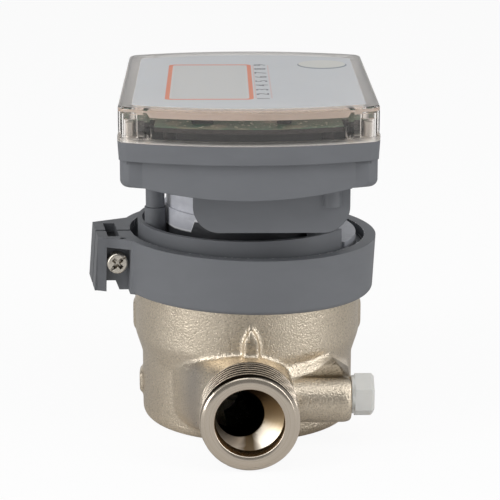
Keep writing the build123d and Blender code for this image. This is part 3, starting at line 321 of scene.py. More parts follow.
shell = bmesh.new()
shell.from_mesh(nodes["brass_body"].data)
bmesh.ops.remove_doubles(shell, verts=shell.verts, dist=weld_distance)
for side in (-1, 1):
    cut = bmesh.ops.bisect_plane(
        shell,
        geom=shell.verts[:] + shell.edges[:] + shell.faces[:],
        plane_co=(0, side * cut_y, 0),
        plane_no=(0, side, 0),
        clear_outer=True,
    )
    rim = [e for e in cut["geom_cut"] if isinstance(e, bmesh.types.BMEdge)]
    bmesh.ops.triangle_fill(shell, use_beauty=True, edges=rim)
band = []
for station_x, outer_r in boss_stations:
    loop = boss_arc_points(outer_r * mm, boss_swell_z, boss_arc)
    loop += boss_arc_points(boss_core_r, axis_z, reversed(boss_arc))
    band.append([shell.verts.new((station_x * mm, loop_y, loop_z)) for loop_y, loop_z in loop])
for first, second in zip(band, band[1:]):
    bridge(shell, first, second)
last = len(band[0]) - 1
for end in (band[0], band[-1]):
    for i in range(len(boss_arc) - 1):
        shell.faces.new((end[i], end[i + 1], end[last - 1 - i], end[last - i]))
for side in (-1, 1):
    lug_x, lug_y, lug_z = lug_middle
    lug = Matrix.Translation((side * lug_x, lug_y, lug_z)) @ Matrix.Diagonal(lug_size)
    bmesh.ops.create_cube(shell, size=1.0, matrix=lug)
bmesh.ops.recalc_face_normals(shell, faces=shell.faces)
cast_mesh = applied(
    ended(shell, "rough_shell"),
    ("REMESH", {"mode": "VOXEL", "voxel_size": voxel}),
    ("SMOOTH", {"factor": 0.5, "iterations": rounding_steps}),
    ("DECIMATE", {"ratio": face_share}),
)
cast_mesh.name = "cast_body"
for vertex in cast_mesh.vertices:
    across = (vertex.co.y - crease_y) / crease_half
    if abs(across) < 1 and vertex.co.z > crease_low_z and vertex.co.x > crease_start_x:
        past_wall = (vertex.co.xy.length - crease_start_r) / crease_growth
        start = min(1.0, max(0.0, past_wall))
        vertex.co.z -= crease_depth * start * (1 - across * across) ** 2
for polygon in cast_mesh.polygons:
    polygon.use_smooth = True
coat(cast_mesh, casting)
cast_body = put(cast_mesh, "cast_body", "meter_body", "brass_body")

# Pipe ends: turned on a lathe after casting, with a right-hand G1 thread outside,
# a flat sealing face and a stepped socket that leads into the off-centre passage.
# The cuts are bright, with fine rings from the tool.
around = 160
end_y = 65.0 * mm
pitch = 2.309 * mm
crest_r = 16.62 * mm
root_r = 15.15 * mm
thread_inner_y = 48.0 * mm
thread_outer_y = end_y - 0.35 * mm
thread_steps = 168
flank_steepness = 1.35
start_turns = 0.8
lead_length = 1.1 * mm
lead_share = 0.25
# Rows before the thread: place along the pipe and radius in millimetres
neck = ((45.8, 15.02), (46.9, 15.1), (47.6, 15.14))
face_chamfer = 0.2 * mm
face_chamfer_r = 15.42 * mm
face_r = 15.25 * mm
socket_r = 11.55 * mm
socket_end_y = 59.1 * mm
# Rows of the cone and passage: place along the pipe, radius and middle's X in millimetres
cone = ((55.1, 8.15, -2.95), (54.9, 7.95, -3.0), (46.2, 7.55, -6.0))
rings_per_metre = 2600.0
ring_depth = 0.006 * mm
wear_size = 1.2 * mm
thread_skin_r = 14.9 * mm
thread_end_y = end_y - 1.3 * mm
thread_lit_z = 28 * mm
lathe_step = 0.2 * mm
groove_r = 16.4 * mm
groove_fade = 0.25 * mm
groove_lit_z = 26 * mm
passage_end_y = 55.0 * mm
passage_outer_r = 13 * mm
wall_half = 0.06 * mm
wall_fade = 0.04 * mm
sharp_angle = radians(75)


def ring_of(build, y, radius, centre_x, side):
    """A ring of vertices round a pipe end; radius may be a function of the angle."""
    made = []
    for i in range(around):
        angle = 2 * pi * i / around
        r = radius(angle) if callable(radius) else radius
        place = (centre_x + r * cos(angle), side * y, axis_z + r * sin(angle))
        made.append(build.verts.new(place))
    return made


def thread_radius(y, side):
    """Radius of a rounded 55-degree thread, which runs out at both of its ends."""
    def at(angle):
        turn = (y / pitch - side * angle / (2 * pi)) % 1.0
        wave = 0.5 - 0.5 * cos(2 * pi * turn)
        wave = min(1.0, max(0.0, (wave - 0.5) * flank_steepness + 0.5))
        start = min(1.0, max(0.0, (y - thread_inner_y) / (start_turns * pitch)))
        lead = min(1.0, max(0.0, (end_y - y) / lead_length))
        crest = root_r + (crest_r - root_r) * (lead_share + (1 - lead_share) * lead)
        return root_r + (crest - root_r) * wave * start
    return at


cut_dull = srgb(214, 201, 184)
cut_bright = srgb(238, 228, 214)
thread_painted_shade = srgb(98, 86, 70)
groove_painted_shade = srgb(40, 33, 24)
wall_tan = srgb(176, 148, 112)
cone_reflection_end = srgb(216, 202, 178)
cone_painted_highlight = srgb(250, 244, 234)
# Painted reflections: bright and dark bands round the socket's cone, by the angle round the pipe
# axis.
painted_cone_reflections = [
    (0.0, cone_reflection_end),
    (0.12, cone_painted_highlight),
    (0.19, cone_painted_highlight),
    (0.23, srgb(120, 104, 82)),
    (0.27, srgb(104, 90, 70)),
    (0.31, srgb(246, 238, 224)),
    (0.39, srgb(240, 228, 208)),
    (0.46, srgb(206, 184, 150)),
    (0.56, srgb(176, 150, 114)),
    (0.66, srgb(86, 66, 44)),
    (0.85, srgb(60, 46, 32)),
    (1.0, cone_reflection_end),
]
turned = Finish("turned_nickel_brass")
x, y, z = turned.axes()
height = z - axis_z
from_axis = (x * x + height * height) ** 0.5
ring_place = from_axis * rings_per_metre + y * rings_per_metre
tool_marks = turned.value("TexNoise", {"noise_dimensions": "1D"}, {"W": ring_place, "Scale": 1.0})
wear = turned.noise(wear_size, 4.0, 0.6)
on_thread = from_axis.above(thread_skin_r, lathe_step) * abs(y).below(thread_end_y, lathe_step)
# Painted shade: the thread is darker, most on its upper side.
thread_shade = on_thread * (0.05 + 0.55 * z.above(thread_lit_z, 9 * mm))
# Painted shade: the thread's roots are darker still, most on top.
groove = on_thread * from_axis.below(groove_r, groove_fade)
groove = groove * (0.45 + 0.55 * z.above(groove_lit_z, 8 * mm))
# Painted shade: dark inside the passage.
in_passage = abs(y).below(passage_end_y, 0.3 * mm) * from_axis.below(passage_outer_r, lathe_step)
in_socket = from_axis.below(socket_r + wall_half, wall_fade)
socket_wall = from_axis.above(socket_r - wall_half, wall_fade) * in_socket
turn_share = height.math("ARCTAN2", height, x) * (0.5 / pi) + 0.5 + 0.02 * (tool_marks - 0.5)
painted_cone_reflection = turned.value("ValToRGB", {"stops": painted_cone_reflections}, {"Fac": turn_share})
cut_metal = turned.blend((tool_marks - 0.3).clipped() * 1.4, cut_dull, cut_bright)
cut_metal = turned.blend(thread_shade, cut_metal, thread_painted_shade)
cut_metal = turned.blend(groove, cut_metal, groove_painted_shade)
cut_metal = turned.blend(in_socket, cut_metal, painted_cone_reflection)
cut_metal = turned.blend(socket_wall, cut_metal, wall_tan)
socket_gloss = 0.14 * from_axis.below(socket_r, lathe_step)
turned.set(
    metallic=1.0,
    base_color=turned.blend(in_passage, cut_metal, srgb(30, 27, 23)),
    roughness=0.14 + 0.06 * tool_marks + 0.06 * wear + socket_gloss,
    normal=turned.bump((tool_marks + 0.25 * wear) * (1 - on_thread), ring_depth),
)
for side, word in ((-1, "inlet"), (1, "outlet")):
    pipe = bmesh.new()
    rows = [(neck_y * mm, neck_r * mm) for neck_y, neck_r in neck]
    for k in range(thread_steps + 1):
        row_y = thread_inner_y + (thread_outer_y - thread_inner_y) * k / thread_steps
        rows.append((row_y, thread_radius(row_y, side)))
    rows.append((end_y - face_chamfer, face_chamfer_r))
    rows.append((end_y, face_r))
    rows.append((end_y, socket_r + 0.3 * mm))
    rows.append((end_y - 0.25 * mm, socket_r))
    rows.append((socket_end_y, socket_r))
    rows.append((socket_end_y - 0.1 * mm, socket_r - 0.1 * mm))
    rings = [ring_of(pipe, row_y, row_r, 0.0, side) for row_y, row_r in rows]
    for row_y, row_r, row_x in cone:
        rings.append(ring_of(pipe, row_y * mm, row_r * mm, row_x * mm, side))
    for first, second in zip(rings, rings[1:]):
        bridge(pipe, first, second)
    bmesh.ops.recalc_face_normals(pipe, faces=pipe.faces)
    pipe_mesh = ended(pipe, word + "_thread")
    coat(pipe_mesh, turned)
    pipe_mesh.set_sharp_from_angle(angle=sharp_angle)
    pipe_end = put(pipe_mesh, word + "_thread", "meter_body", "brass_body")


# Regulating plug: moulded white nylon, a little translucent, screwed into its boss.
# Its head has six flats with soft corners.
def dress(finish, slot, *names):
    """Gives CAD nodes a finish."""
    for name in names:
        if not nodes[name].material_slots:
            nodes[name].data.materials.append(finish.material)
        for mesh_slot in nodes[name].material_slots:
            mesh_slot.link = "OBJECT"
            mesh_slot.material = finish.material


nylon_cloud_size = 5 * mm
light_reach = 2.5 * mm
sink_depth = 0.03 * mm
soft_corner = 0.45 * mm
nylon = Finish("white_nylon")
nylon_cloud = nylon.noise(nylon_cloud_size, 2.0)
nylon.set(
    base_color=nylon.blend(nylon_cloud, srgb(226, 225, 220), srgb(213, 212, 208)),
    roughness=0.38 + 0.1 * nylon_cloud,
    subsurface_weight=0.35,
    subsurface_radius=(1.0, 0.9, 0.8),
    subsurface_scale=light_reach,
    normal=nylon.bump(nylon_cloud, sink_depth, 1.0, soft_corner),
)
dress(nylon, "white_nylon", "regulating_plug")

# Metal and rubber inside the meter: a turned brass screw, bright steel pins and
# screws, sintered magnets and black seals. Most are hidden in use, and all keep the
# plain finish of their making.
lathe_mark_size = 0.3 * mm
drawn_mark_size = 0.4 * mm
sinter_size = 0.6 * mm
sinter_depth = 0.03 * mm
bloom_size = 1.2 * mm
turned_brass = Finish("turned_brass")
lathe = turned_brass.noise(lathe_mark_size, 2.0, stretch=(1, 0.1, 0.1))
turned_brass.set(
    metallic=1.0,
    base_color=srgb(206, 178, 120),
    roughness=0.25 + 0.15 * lathe,
)
dress(turned_brass, "plain_brass", "regulating_screw")
steel = Finish("bright_steel")
drawn = steel.noise(drawn_mark_size, 3.0, stretch=(1, 1, 0.1))
steel.set(
    metallic=1.0,
    base_color=srgb(190, 189, 187),
    roughness=0.22 + 0.2 * drawn,
)
dress(steel, "steel", "lower_pivot", "follower_spindle", "head_screws", "cover_screws")
ferrite = Finish("sintered_ferrite")
sinter = ferrite.noise(sinter_size, 3.0)
ferrite.set(
    base_color=srgb(52, 51, 53),
    roughness=0.55 + 0.2 * sinter,
    normal=ferrite.bump(sinter, sinter_depth),
)
dress(ferrite, "magnet", "impeller_magnet", "follower_magnet")
rubber = Finish("black_rubber")
bloom = rubber.noise(bloom_size, 3.0)
rubber.set(
    base_color=rubber.blend(bloom, srgb(22, 22, 23), srgb(34, 34, 35)),
    roughness=0.7 + 0.15 * bloom,
)
dress(rubber, "seal_rubber", "plate_seal", "regulating_seal", "cover_gasket")

# Measuring parts: the impeller and its bearing are off-white moulded plastic, the
# pressure plate, can and frame black. The follower repeats the impeller's turns.
flow_size = 6 * mm
flow_depth = 0.03 * mm
spark_size = 0.25 * mm
spark_depth = 0.02 * mm
moulded_edge = 0.2 * mm
off_white = Finish("off_white_plastic")
flow = off_white.noise(flow_size, 2.0, stretch=(1, 1, 0.4))
off_white.set(
    base_color=off_white.blend(flow, srgb(222, 220, 212), srgb(208, 206, 198)),
    roughness=0.42 + 0.1 * flow,
    normal=off_white.bump(flow, flow_depth, 1.0, moulded_edge),
)
dress(off_white, "wheel_plastic", "impeller", "upper_bearing", "follower_carrier")
black = Finish("black_plastic")
spark = black.noise(spark_size, 2.0)
black.set(
    base_color=srgb(33, 33, 35),
    roughness=0.45 + 0.15 * spark,
    normal=black.bump(spark, spark_depth, 1.0, moulded_edge),
)
dress(black, "black_plastic", "pressure_plate", "register_can", "register_frame", "board_spacers")

# Clamp ring: one grey moulding, split at its ear, satin from a lightly eroded mould.
# Its edges are barely broken, and its inner rim is flecked pale in places along its top,
# partly from rubbing and partly as a painted highlight. Its ear is painted darker as shade.
# The slot in the ear ends on a thin web, black as painted shade in the slot.
mould_texture_size = 0.22 * mm
mould_depth = 0.03 * mm
flow_mark_size = 18 * mm
rub_size = 2.5 * mm
broken_edge = 0.35 * mm
ring_turn = radians(8.2)
ring_tilt = radians(1.63)
pot_height = 57.0 * mm
rim_r = 41.0 * mm
rub_width = 0.25 * mm
rim_low_z = 65.2 * mm
fleck_size = 1.1 * mm
ear_shade_size = 4 * mm
ear_x = -45 * mm
slot_floor_middle = (-47.9 * mm, 0.8 * mm, 63.0 * mm)
slot_floor_size = (5.0 * mm, 19.8 * mm, 0.8 * mm, 1)
slot_floor_edge = 0.25 * mm


def grey_moulding(name, light, dark):
    """Satin grey plastic with a fine mould texture, faint flow marks and rounded edges."""
    finish = Finish(name)
    texture = finish.noise(mould_texture_size, 3.0, 0.6)
    flow_marks = finish.noise(flow_mark_size, 3.0, 0.5, (1, 1, 2.5), 0.6)
    rubs = finish.noise(rub_size, 4.0, 0.65, (1, 1, 6))
    finish.set(
        base_color=finish.blend(flow_marks, light, dark),
        roughness=0.42 + 0.10 * texture + 0.10 * rubs,
        normal=finish.bump(texture * 0.5 + rubs * 0.25, mould_depth, 0.8, broken_edge),
    )
    return finish


ring_grey = grey_moulding("ring_grey_plastic", srgb(119, 121, 125), srgb(109, 111, 115))
rx, ry, rz = ring_grey.axes()
from_middle = (rx * rx + ry * ry) ** 0.5
# Pale flecks on the inner rim's top: partly rubbed wear, partly a painted highlight.
rim_wear_and_glint = from_middle.below(rim_r + rub_width, 0.15 * mm) * rz.above(rim_low_z, 0.3 * mm)
flecks_and_glints = ring_grey.noise(fleck_size, 3.0, 0.7, (1, 1, 0.4)).above(0.56, 0.04) * rim_wear_and_glint
# Painted shade: the ear is darker, in patches.
ear_painted_shade = rx.below(ear_x, 5 * mm) * (0.25 + 0.3 * ring_grey.noise(ear_shade_size, 2.0))
ring_colour = ring_grey.blend(ear_painted_shade, ring_grey.colour_so_far(), srgb(70, 71, 74))
ring_grey.set(base_color=ring_grey.blend(flecks_and_glints, ring_colour, srgb(214, 215, 218)))
dress(ring_grey, "ring_grey", "clamp_ring")
pot_top = Matrix.Translation((0, 0, pot_height))
tilted = Matrix.Rotation(ring_tilt, 4, "Y") @ Matrix.Rotation(ring_turn, 4, "Z")
ring_pose = pot_top @ tilted @ pot_top.inverted()
slot_web = Matrix.Translation(slot_floor_middle) @ Matrix.Diagonal(slot_floor_size)
slot_build = bmesh.new()
bmesh.ops.create_cube(slot_build, size=1.0, matrix=ring_pose @ slot_web)
bmesh.ops.bevel(
    slot_build,
    geom=slot_build.edges[:],
    offset=slot_floor_edge,
    segments=3,
    profile=0.5,
    affect="EDGES",
)
slot_mesh = ended(slot_build, "slot_floor")
# Black as painted shade in the slot.
coat(slot_mesh, black)
slot_floor = put(slot_mesh, "slot_floor", "meter_body")

# Clamp screw, washers and nut: nickel-plated steel with a slightly brown tone.
# The pan head has a cross and a slot for the fitter's driver, painted dark inside as shade.
recess_depth = 0.9 * mm
stain_size = 1.1 * mm
screw_edge = 0.15 * mm
plated = Finish("nickel_plated_steel")
stain = plated.noise(stain_size, 3.0)
# Painted shade: dark where the ambient occlusion finds the head's recesses.
openness = plated.value("AmbientOcclusion", {"samples": 8}, {"Distance": recess_depth}, "AO")
bright_nickel = plated.blend(stain, srgb(244, 238, 228), srgb(206, 197, 182))
plated.set(
    metallic=1.0,
    base_color=plated.blend(openness.above(0.62, 0.4), srgb(46, 36, 26), bright_nickel),
    roughness=0.2 + 0.18 * stain,
    normal=plated.rounded(screw_edge),
)
dress(plated, "nickel_steel", "clamp_screw", "spring_washer", "flat_washer", "clamp_nut")

# Cup, drum and tray: three mouldings of the head. Cup and tray are the same grey as
# the ring, and the tray is painted dark inside as shade. The drum is wrapped in a pale,
# creased film whose lower edge is cut by hand and shows white; below it the drum is
# dark, which also stands as painted shade under the bulge.
film_cut_z = 70.2 * mm
film_rise = 4.0 * mm
film_drop = 20 * mm
film_wander = 1.0 * mm
bulge_left_x = -18.7 * mm
bulge_back_y = -8 * mm
right_side_x = 29 * mm
film_crease_size = 9 * mm
film_crease_depth = 0.9 * mm
well_half_x = 39.5 * mm
well_half_y = 52 * mm
well_low_z = 101 * mm
well_fade = 0.5 * mm
cup_grey = grey_moulding("cup_grey_plastic", srgb(117, 119, 123), srgb(107, 109, 113))
dress(cup_grey, "cup_grey", "register_cup")
drum_grey = Finish("drum_grey_plastic")
drum_texture = drum_grey.noise(mould_texture_size, 3.0, 0.6)
drum_rubs = drum_grey.noise(rub_size, 4.0, 0.65, (1, 1, 6))
dx, dy, dz = drum_grey.axes()
creases = drum_grey.noise(film_crease_size, 3.0, 0.5, (1, 1, 2.2), 1.2)
under_bulge = dx.above(bulge_left_x, 1.2 * mm) * dy.below(bulge_back_y, 6 * mm)
on_right = dx.above(right_side_x, 2 * mm)
film_edge = film_cut_z + film_rise * under_bulge - film_drop * on_right + film_wander * creases
mm_above_edge = (dz - film_edge) * (1 / mm)
film_colour = drum_grey.blend(creases, srgb(232, 233, 240), srgb(196, 197, 205))
cut_edge = mm_above_edge.below(0.7, 0.3) * 0.8
film_colour = drum_grey.blend(cut_edge, film_colour, srgb(250, 250, 252))
film_colour = drum_grey.blend(on_right, film_colour, srgb(168, 170, 176))
# Below the film's edge the drum is dark, partly as painted shade under the bulge.
drum_grey.set(
    base_color=drum_grey.blend(mm_above_edge.above(0.0, 0.3), srgb(62, 63, 66), film_colour),
    roughness=0.3 + 0.10 * drum_texture + 0.10 * drum_rubs,
    normal=drum_grey.bump(creases, film_crease_depth, 0.4, broken_edge),
)
dress(drum_grey, "drum_grey", "register_drum")
tray_grey = grey_moulding("tray_grey_plastic", srgb(118, 120, 124), srgb(108, 110, 114))
tx, ty, tz = tray_grey.axes()
# Painted shade: the well inside the tray is dark.
in_well = abs(tx).below(well_half_x, well_fade) * abs(ty).below(well_half_y, well_fade)
in_well = in_well * tz.above(well_low_z, well_fade)
tray_colour = tray_grey.blend(in_well * 0.8, tray_grey.colour_so_far(), srgb(52, 53, 55))
tray_grey.set(base_color=tray_colour)
dress(tray_grey, "tray_grey", "head_tray")

# Electronics: a green board with small black parts, a display, a lithium cell and a
# board that picks up the follower's turns.
board_face_z = 113.12 * mm
track_size = 2.2 * mm
track_depth = 0.04 * mm
patch_size = 9 * mm
pad_size = 1.6 * mm
part_mark_size = 0.5 * mm
part_edge = 0.15 * mm
sheen_size = 20 * mm
sleeve_mark_size = 2 * mm
sleeve_depth = 0.05 * mm
mask_dark = srgb(12, 66, 48)
mask_light = srgb(36, 96, 72)
part_tan = srgb(126, 122, 104)
solder_pale = srgb(206, 206, 192)
board_green = Finish("solder_mask_green")
tracks = board_green.noise(track_size, 3.0, 0.6, (1, 3, 1))
patches = board_green.noise(patch_size, 2.0)
pads = board_green.noise(pad_size, 1.0)
on_edge = board_green.axes()[2].below(board_face_z, 0.02 * mm)
mask_colour = board_green.blend(tracks.above(0.55, 0.1), mask_dark, mask_light)
mask_colour = board_green.blend(patches.above(0.6, 0.1) * 0.7, mask_colour, part_tan)
mask_colour = board_green.blend(pads.above(0.68, 0.05), mask_colour, solder_pale)
board_green.set(
    base_color=board_green.blend(on_edge, mask_colour, srgb(34, 29, 28)),
    roughness=0.3 + 0.1 * tracks,
    normal=board_green.bump(tracks, track_depth),
)
dress(board_green, "board_green", "circuit_board", "pickup_board")
part_black = Finish("component_black")
matt = part_black.noise(part_mark_size, 2.0)
part_black.set(
    base_color=srgb(40, 39, 38),
    roughness=0.4 + 0.2 * matt,
    normal=part_black.rounded(part_edge),
)
dress(part_black, "component_black", "board_components")
display = Finish("display_glass")
sheen = display.noise(sheen_size, 1.0)
display.set(
    base_color=display.blend(sheen, srgb(208, 208, 204), srgb(196, 198, 194)),
    roughness=0.25 + 0.1 * sheen,
)
dress(display, "display_glass", "lcd_panel")
sleeve = Finish("cell_sleeve")
shrink = sleeve.noise(sleeve_mark_size, 2.0, stretch=(0.2, 1, 1))
sleeve.set(
    base_color=sleeve.blend(shrink, srgb(36, 72, 116), srgb(48, 88, 132)),
    roughness=0.25 + 0.1 * shrink,
    normal=sleeve.bump(shrink, sleeve_depth),
)
dress(sleeve, "cell_jacket", "battery")

# Clear cover: one clear polycarbonate moulding with a thick top and thin walls.
# It is frosted under the label and along its flange, whose front edge glows faintly
# as a painted highlight, and it lets light through onto what it covers.
cover_seat_z = 108.2 * mm
seat_gap = 0.06 * mm
flange_top_z = 109.7 * mm
flange_line_z = 108.75 * mm
flange_front_y = -40 * mm
glue_z = 119.7 * mm
line_fade = 0.2 * mm
haze_size = 9 * mm
no_light = (0, 0, 0, 1)
clear = Finish("clear_polycarbonate")
haze = clear.noise(haze_size, 2.0)
cy, cz = clear.axes()[1:]
frosted = cz.above(glue_z, 0.1 * mm) * 0.3 + cz.below(flange_top_z, line_fade) * 0.4
# Painted highlight: a faint glow along the flange's front edge.
flange_painted_glow = cz.below(flange_line_z, line_fade) * cy.below(flange_front_y, 8 * mm)
clear.set(
    base_color=srgb(249, 246, 243),
    emission_color=clear.blend(flange_painted_glow, no_light, srgb(214, 210, 202)),
    emission_strength=0.12,
    roughness=0.02 + 0.03 * haze + frosted,
    transmission_weight=1.0,
    ior=1.5,
)
lamp_ray = clear.node("LightPath", {}, {}).outputs["Is Shadow Ray"]
let_through = clear.node("BsdfTransparent", {}, {"Color": srgb(240, 236, 231)}).outputs[0]
clear_mix = {0: lamp_ray, 1: clear.shader.outputs[0], 2: let_through}
clear.feed(clear.output.inputs["Surface"], clear.node("MixShader", {}, clear_mix).outputs[0])
cover_mesh = nodes["clear_cover"].data.copy()
cover_mesh.name = "cover_shell"
for vertex in cover_mesh.vertices:
    if vertex.co.z < cover_seat_z + 0.02 * mm:
        vertex.co.z = cover_seat_z + seat_gap
coat(cover_mesh, clear)
cover_shell = put(cover_mesh, "cover_shell", "display_head", "clear_cover")

# Dial label: a printed sheet glued on the cover, tan underneath from its adhesive,
# with an orange frame round a grey window film, figures between two thin lines and
# a plain round spot. The film fills the label's window.
window_x = -12.8 * mm
window_y = -5.9 * mm
frame_half_x = 14.55 * mm
frame_half_y = 34.6 * mm
frame_line = 1.45 * mm
pale_line = 0.7 * mm
frame_corner = 2.2 * mm
pale_corner = 1.4 * mm
film_corner = 1.0 * mm
print_edge = 0.05 * mm
lines_y = -5.8 * mm
lines_half = 32.5 * mm
line_half = 0.24 * mm
line_left_x = 2.5 * mm
line_right_x = 7.7 * mm
spot_x = 27.2 * mm
spot_y = 29.2 * mm
spot_r = 8.4 * mm
spot_shade_y = 27.6 * mm
spot_shade_r = 8.8 * mm
spot_edge = 0.1 * mm
label_bottom = 119.74 * mm
label_middle = 119.85 * mm
label_top = 120.0 * mm
film_low = Vector((-25.0 * mm, -35.0 * mm, label_bottom))
film_high = Vector((-0.5 * mm, 27.0 * mm, label_top - 0.02 * mm))
paper_cloud_size = 30 * mm
paper_light_reach = 1.2 * mm
figures_x = 5.1 * mm
figure_height = 6.0 * mm
ink_height = 0.02 * mm
ink_cloud_size = 0.5 * mm
label = Finish("printed_label")
lx, ly, lz = label.axes()


def beyond(coordinate, middle, half):
    """How far a place lies past half on either side of the middle, along one axis."""
    return (abs(coordinate - middle) - half).clipped()


def inside(coordinate, middle, half):
    """1 within half of the middle along one axis, 0 outside."""
    return beyond(coordinate, middle, half).below(0, print_edge)


def in_window(inset, corner):
    """1 inside the frame's outline moved in by the inset, with rounded corners, 0 outside."""
    past_x = beyond(lx, window_x, frame_half_x - inset - corner)
    past_y = beyond(ly, window_y, frame_half_y - inset - corner)
    return ((past_x * past_x + past_y * past_y) ** 0.5).below(corner, print_edge)


def in_disc(centre_x, centre_y, radius):
    """1 inside a circle on the label, 0 outside."""
    off_x = lx - centre_x
    off_y = ly - centre_y
    return ((off_x * off_x + off_y * off_y) ** 0.5).below(radius, spot_edge)


outer = in_window(0, frame_corner)
inner = in_window(frame_line, pale_corner)
film = in_window(frame_line + pale_line, film_corner)
either_line = inside(lx, line_left_x, line_half) + inside(lx, line_right_x, line_half)
thin = inside(ly, lines_y, lines_half) * either_line
underside = lz.below(label_middle, 0.02 * mm)
paper_cloud = label.noise(paper_cloud_size, 2.0)
paper = label.blend(paper_cloud, srgb(200, 202, 204), srgb(195, 197, 200))
printed = label.blend(outer + thin, paper, srgb(222, 132, 104))
printed = label.blend(inner, printed, srgb(203, 202, 200))
printed = label.blend(film, printed, srgb(199, 199, 197))
spot_shade = in_disc(spot_x, spot_shade_y, spot_shade_r)
printed = label.blend(spot_shade, printed, srgb(122, 130, 140))
printed = label.blend(in_disc(spot_x, spot_y, spot_r), printed, srgb(206, 205, 199))
# Painted light: the label's tan underside glows faintly.
label.set(
    base_color=label.blend(underside, printed, srgb(236, 220, 210)),
    roughness=0.45 + 0.08 * paper_cloud,
    subsurface_weight=0.8,
    subsurface_radius=(1.0, 0.9, 0.8),
    subsurface_scale=paper_light_reach,
    emission_color=label.blend(underside, no_light, srgb(236, 214, 206)),
    emission_strength=0.2,
)
label_mesh = nodes["dial_label"].data.copy()
label_mesh.name = "label_sheet"
for vertex in label_mesh.vertices:
    if vertex.co.z < label_middle + 0.05 * mm:
        vertex.co.z = label_bottom
sheet = bmesh.new()
sheet.from_mesh(label_mesh)
for vertex in bmesh.ops.create_cube(sheet, size=1.0)["verts"]:
    for axis in range(3):
        vertex.co[axis] = (film_high if vertex.co[axis] > 0 else film_low)[axis]
sheet.to_mesh(label_mesh)
sheet.free()
coat(label_mesh, label)
label_sheet = put(label_mesh, "label_sheet", "display_head", "dial_label")
ink = Finish("printing_ink")
ink_cloud = ink.noise(ink_cloud_size, 2.0)
ink.set(
    base_color=ink.blend(ink_cloud, srgb(92, 92, 98), srgb(118, 117, 122)),
    roughness=0.5,
)
figures = bpy.data.curves.new("dial_figures", "FONT")
figures.body = "1 2 3 4 5 6 7 8 9"
figures.size = figure_height
figures.space_character = 1.6
figures.extrude = ink_height
figures.align_x = "CENTER"
figures.align_y = "CENTER"
coat(figures, ink)
dial_figures = put(figures, "dial_figures", "display_head")
on_label = Matrix.Translation((figures_x, lines_y, label_top + ink_height))
dial_figures.matrix_world = on_label @ Matrix.Rotation(pi / 2, 4, "Z")

# Floor: a pale sheet that the meter stands on. The camera and the clear cover see it
# nearly white, with the meter's shadow; polished metal mirrors it darker.
floor_half = 6.0
floor_white = (0.92, 0.92, 0.92, 1.0)
floor_mirrored = (0.62, 0.61, 0.6, 1.0)
glow_seen = 0.93
glow_mirrored = 0.05
floor_mesh = bpy.data.meshes.new("floor")
corners = [(sx * floor_half, sy * floor_half, 0) for sx, sy in ((-1, -1), (1, -1), (1, 1), (-1, 1))]
floor_mesh.from_pydata(corners, [], [(0, 1, 2, 3)])
floor = bpy.data.objects.new("floor", floor_mesh)
bpy.context.scene.collection.objects.link(floor)
ground = Finish("pale_floor")
seen = ground.node("LightPath", {}, {}).outputs
ground.set(
    base_color=ground.blend(seen["Is Glossy Ray"], floor_white, floor_mirrored),
    roughness=0.9,
)
glow = ground.node("Emission", {}, {"Color": (1, 1, 1, 1), "Strength": 1.0}).outputs[0]
seen_directly = Signal(ground, seen["Is Camera Ray"]) + Signal(ground, seen["Is Transmission Ray"])
glow_share = seen_directly * glow_seen + Signal(ground, seen["Is Glossy Ray"]) * glow_mirrored
floor_mix = {0: glow_share.clipped(0.0, glow_seen), 1: ground.shader.outputs[0], 2: glow}
ground.feed(ground.output.inputs["Surface"], ground.node("MixShader", {}, floor_mix).outputs[0])
coat(floor_mesh, ground)

# Backdrop and lamps: white behind the meter and dim elsewhere in the metal's
# mirror image, with a tall soft box on each side in front and a wide one above.
room_glow = 0.14
backdrop_glow = 0.6
top_glow = 0.2
front_glow = 0.08
soft_fill = 0.28
body_middle = (0, 0, 0.06)
head_middle = (0, 0, 0.08)
key_place = (-0.9, -0.5, 0.5)
fill_place = (0.9, -0.5, 0.5)
overhead_place = (0.0, -0.3, 0.95)
side_box_size = (0.42, 1.1)
overhead_size = (1.3, 0.9)
key_power = 5.4
fill_power = 4.4
overhead_power = 3.6
world = bpy.data.worlds.new("studio")
bpy.context.scene.world = world
world.use_nodes = True
sky = Graph(world.node_tree)
ray = sky.node("LightPath", {}, {}).outputs
seen_direct = Signal(sky, ray["Is Camera Ray"]) + Signal(sky, ray["Is Transmission Ray"])
mirrored = Signal(sky, ray["Is Glossy Ray"])
sky_place = sky.node("TexCoord", {}, {}).outputs["Generated"]
away = sky.value("SeparateXYZ", {}, {0: sky_place}, 1)
upward = sky.value("SeparateXYZ", {}, {0: sky_place}, 2)
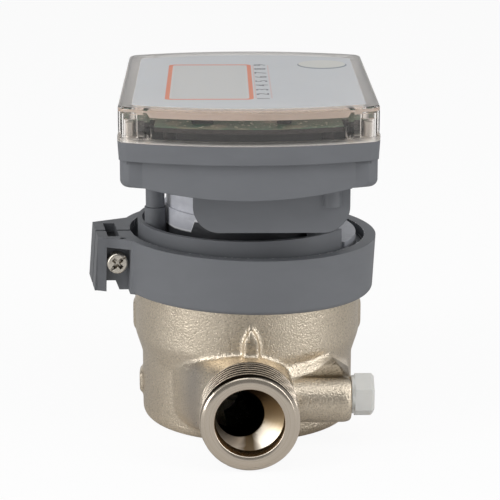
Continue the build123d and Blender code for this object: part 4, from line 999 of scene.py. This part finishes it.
backdrop = away.above(0.5, 0.5) * upward.below(0.6, 0.3)
front = (0 - away).above(0.35, 0.4) * upward.below(0.75, 0.2)
overhead = upward.above(0.75, 0.4)
lit = room_glow + backdrop_glow * backdrop + top_glow * overhead + front_glow * front
strength = 1.0 - (1 - lit) * mirrored
open_sky = sky.node("Background", {}, {"Color": (1, 1, 1, 1), "Strength": strength}).outputs[0]
cool = {"Color": (0.97, 0.985, 1.0, 1), "Strength": soft_fill}
soft = sky.node("Background", {}, cool).outputs[0]
sky_mix = {0: (seen_direct + mirrored).clipped(), 1: soft, 2: open_sky}
sky.node("OutputWorld", {}, {"Surface": sky.node("MixShader", {}, sky_mix).outputs[0]})


def lamp(name, place, aim, size, power):
    """A soft box that points at a place on the object."""
    light = bpy.data.lights.new(name, "AREA")
    light.shape = "RECTANGLE"
    light.size, light.size_y = size
    light.energy = power
    made = bpy.data.objects.new(name, light)
    made.location = place
    made.rotation_mode = "QUATERNION"
    made.rotation_quaternion = (Vector(aim) - Vector(place)).to_track_quat("-Z", "Y")
    bpy.context.scene.collection.objects.link(made)


lamp("key", key_place, body_middle, side_box_size, key_power)
lamp("fill", fill_place, body_middle, side_box_size, fill_power)
lamp("overhead", overhead_place, head_middle, overhead_size, overhead_power)

# Camera: at the photograph's place, in front of the inlet and looking slightly down.
# Its lens and distance give the photograph's perspective.
look_at = Vector((1.089, 0.0, 58.912)) * mm
distance = 743.706 * mm
pitch_down = radians(14.489)
yaw = radians(0.882)
camera_data = bpy.data.cameras.new("camera")
camera_data.sensor_width = 36.0
camera_data.lens = 152.33
camera_data.clip_start = 0.02
camera_data.clip_end = 60.0
camera = bpy.data.objects.new("camera", camera_data)
forward = Vector((sin(yaw) * cos(pitch_down), cos(yaw) * cos(pitch_down), -sin(pitch_down)))
camera.location = look_at - forward * distance
camera.rotation_mode = "QUATERNION"
camera.rotation_quaternion = forward.to_track_quat("-Z", "Y")
bpy.context.scene.collection.objects.link(camera)
bpy.context.scene.camera = camera
bpy.context.scene.view_settings.view_transform = "Standard"
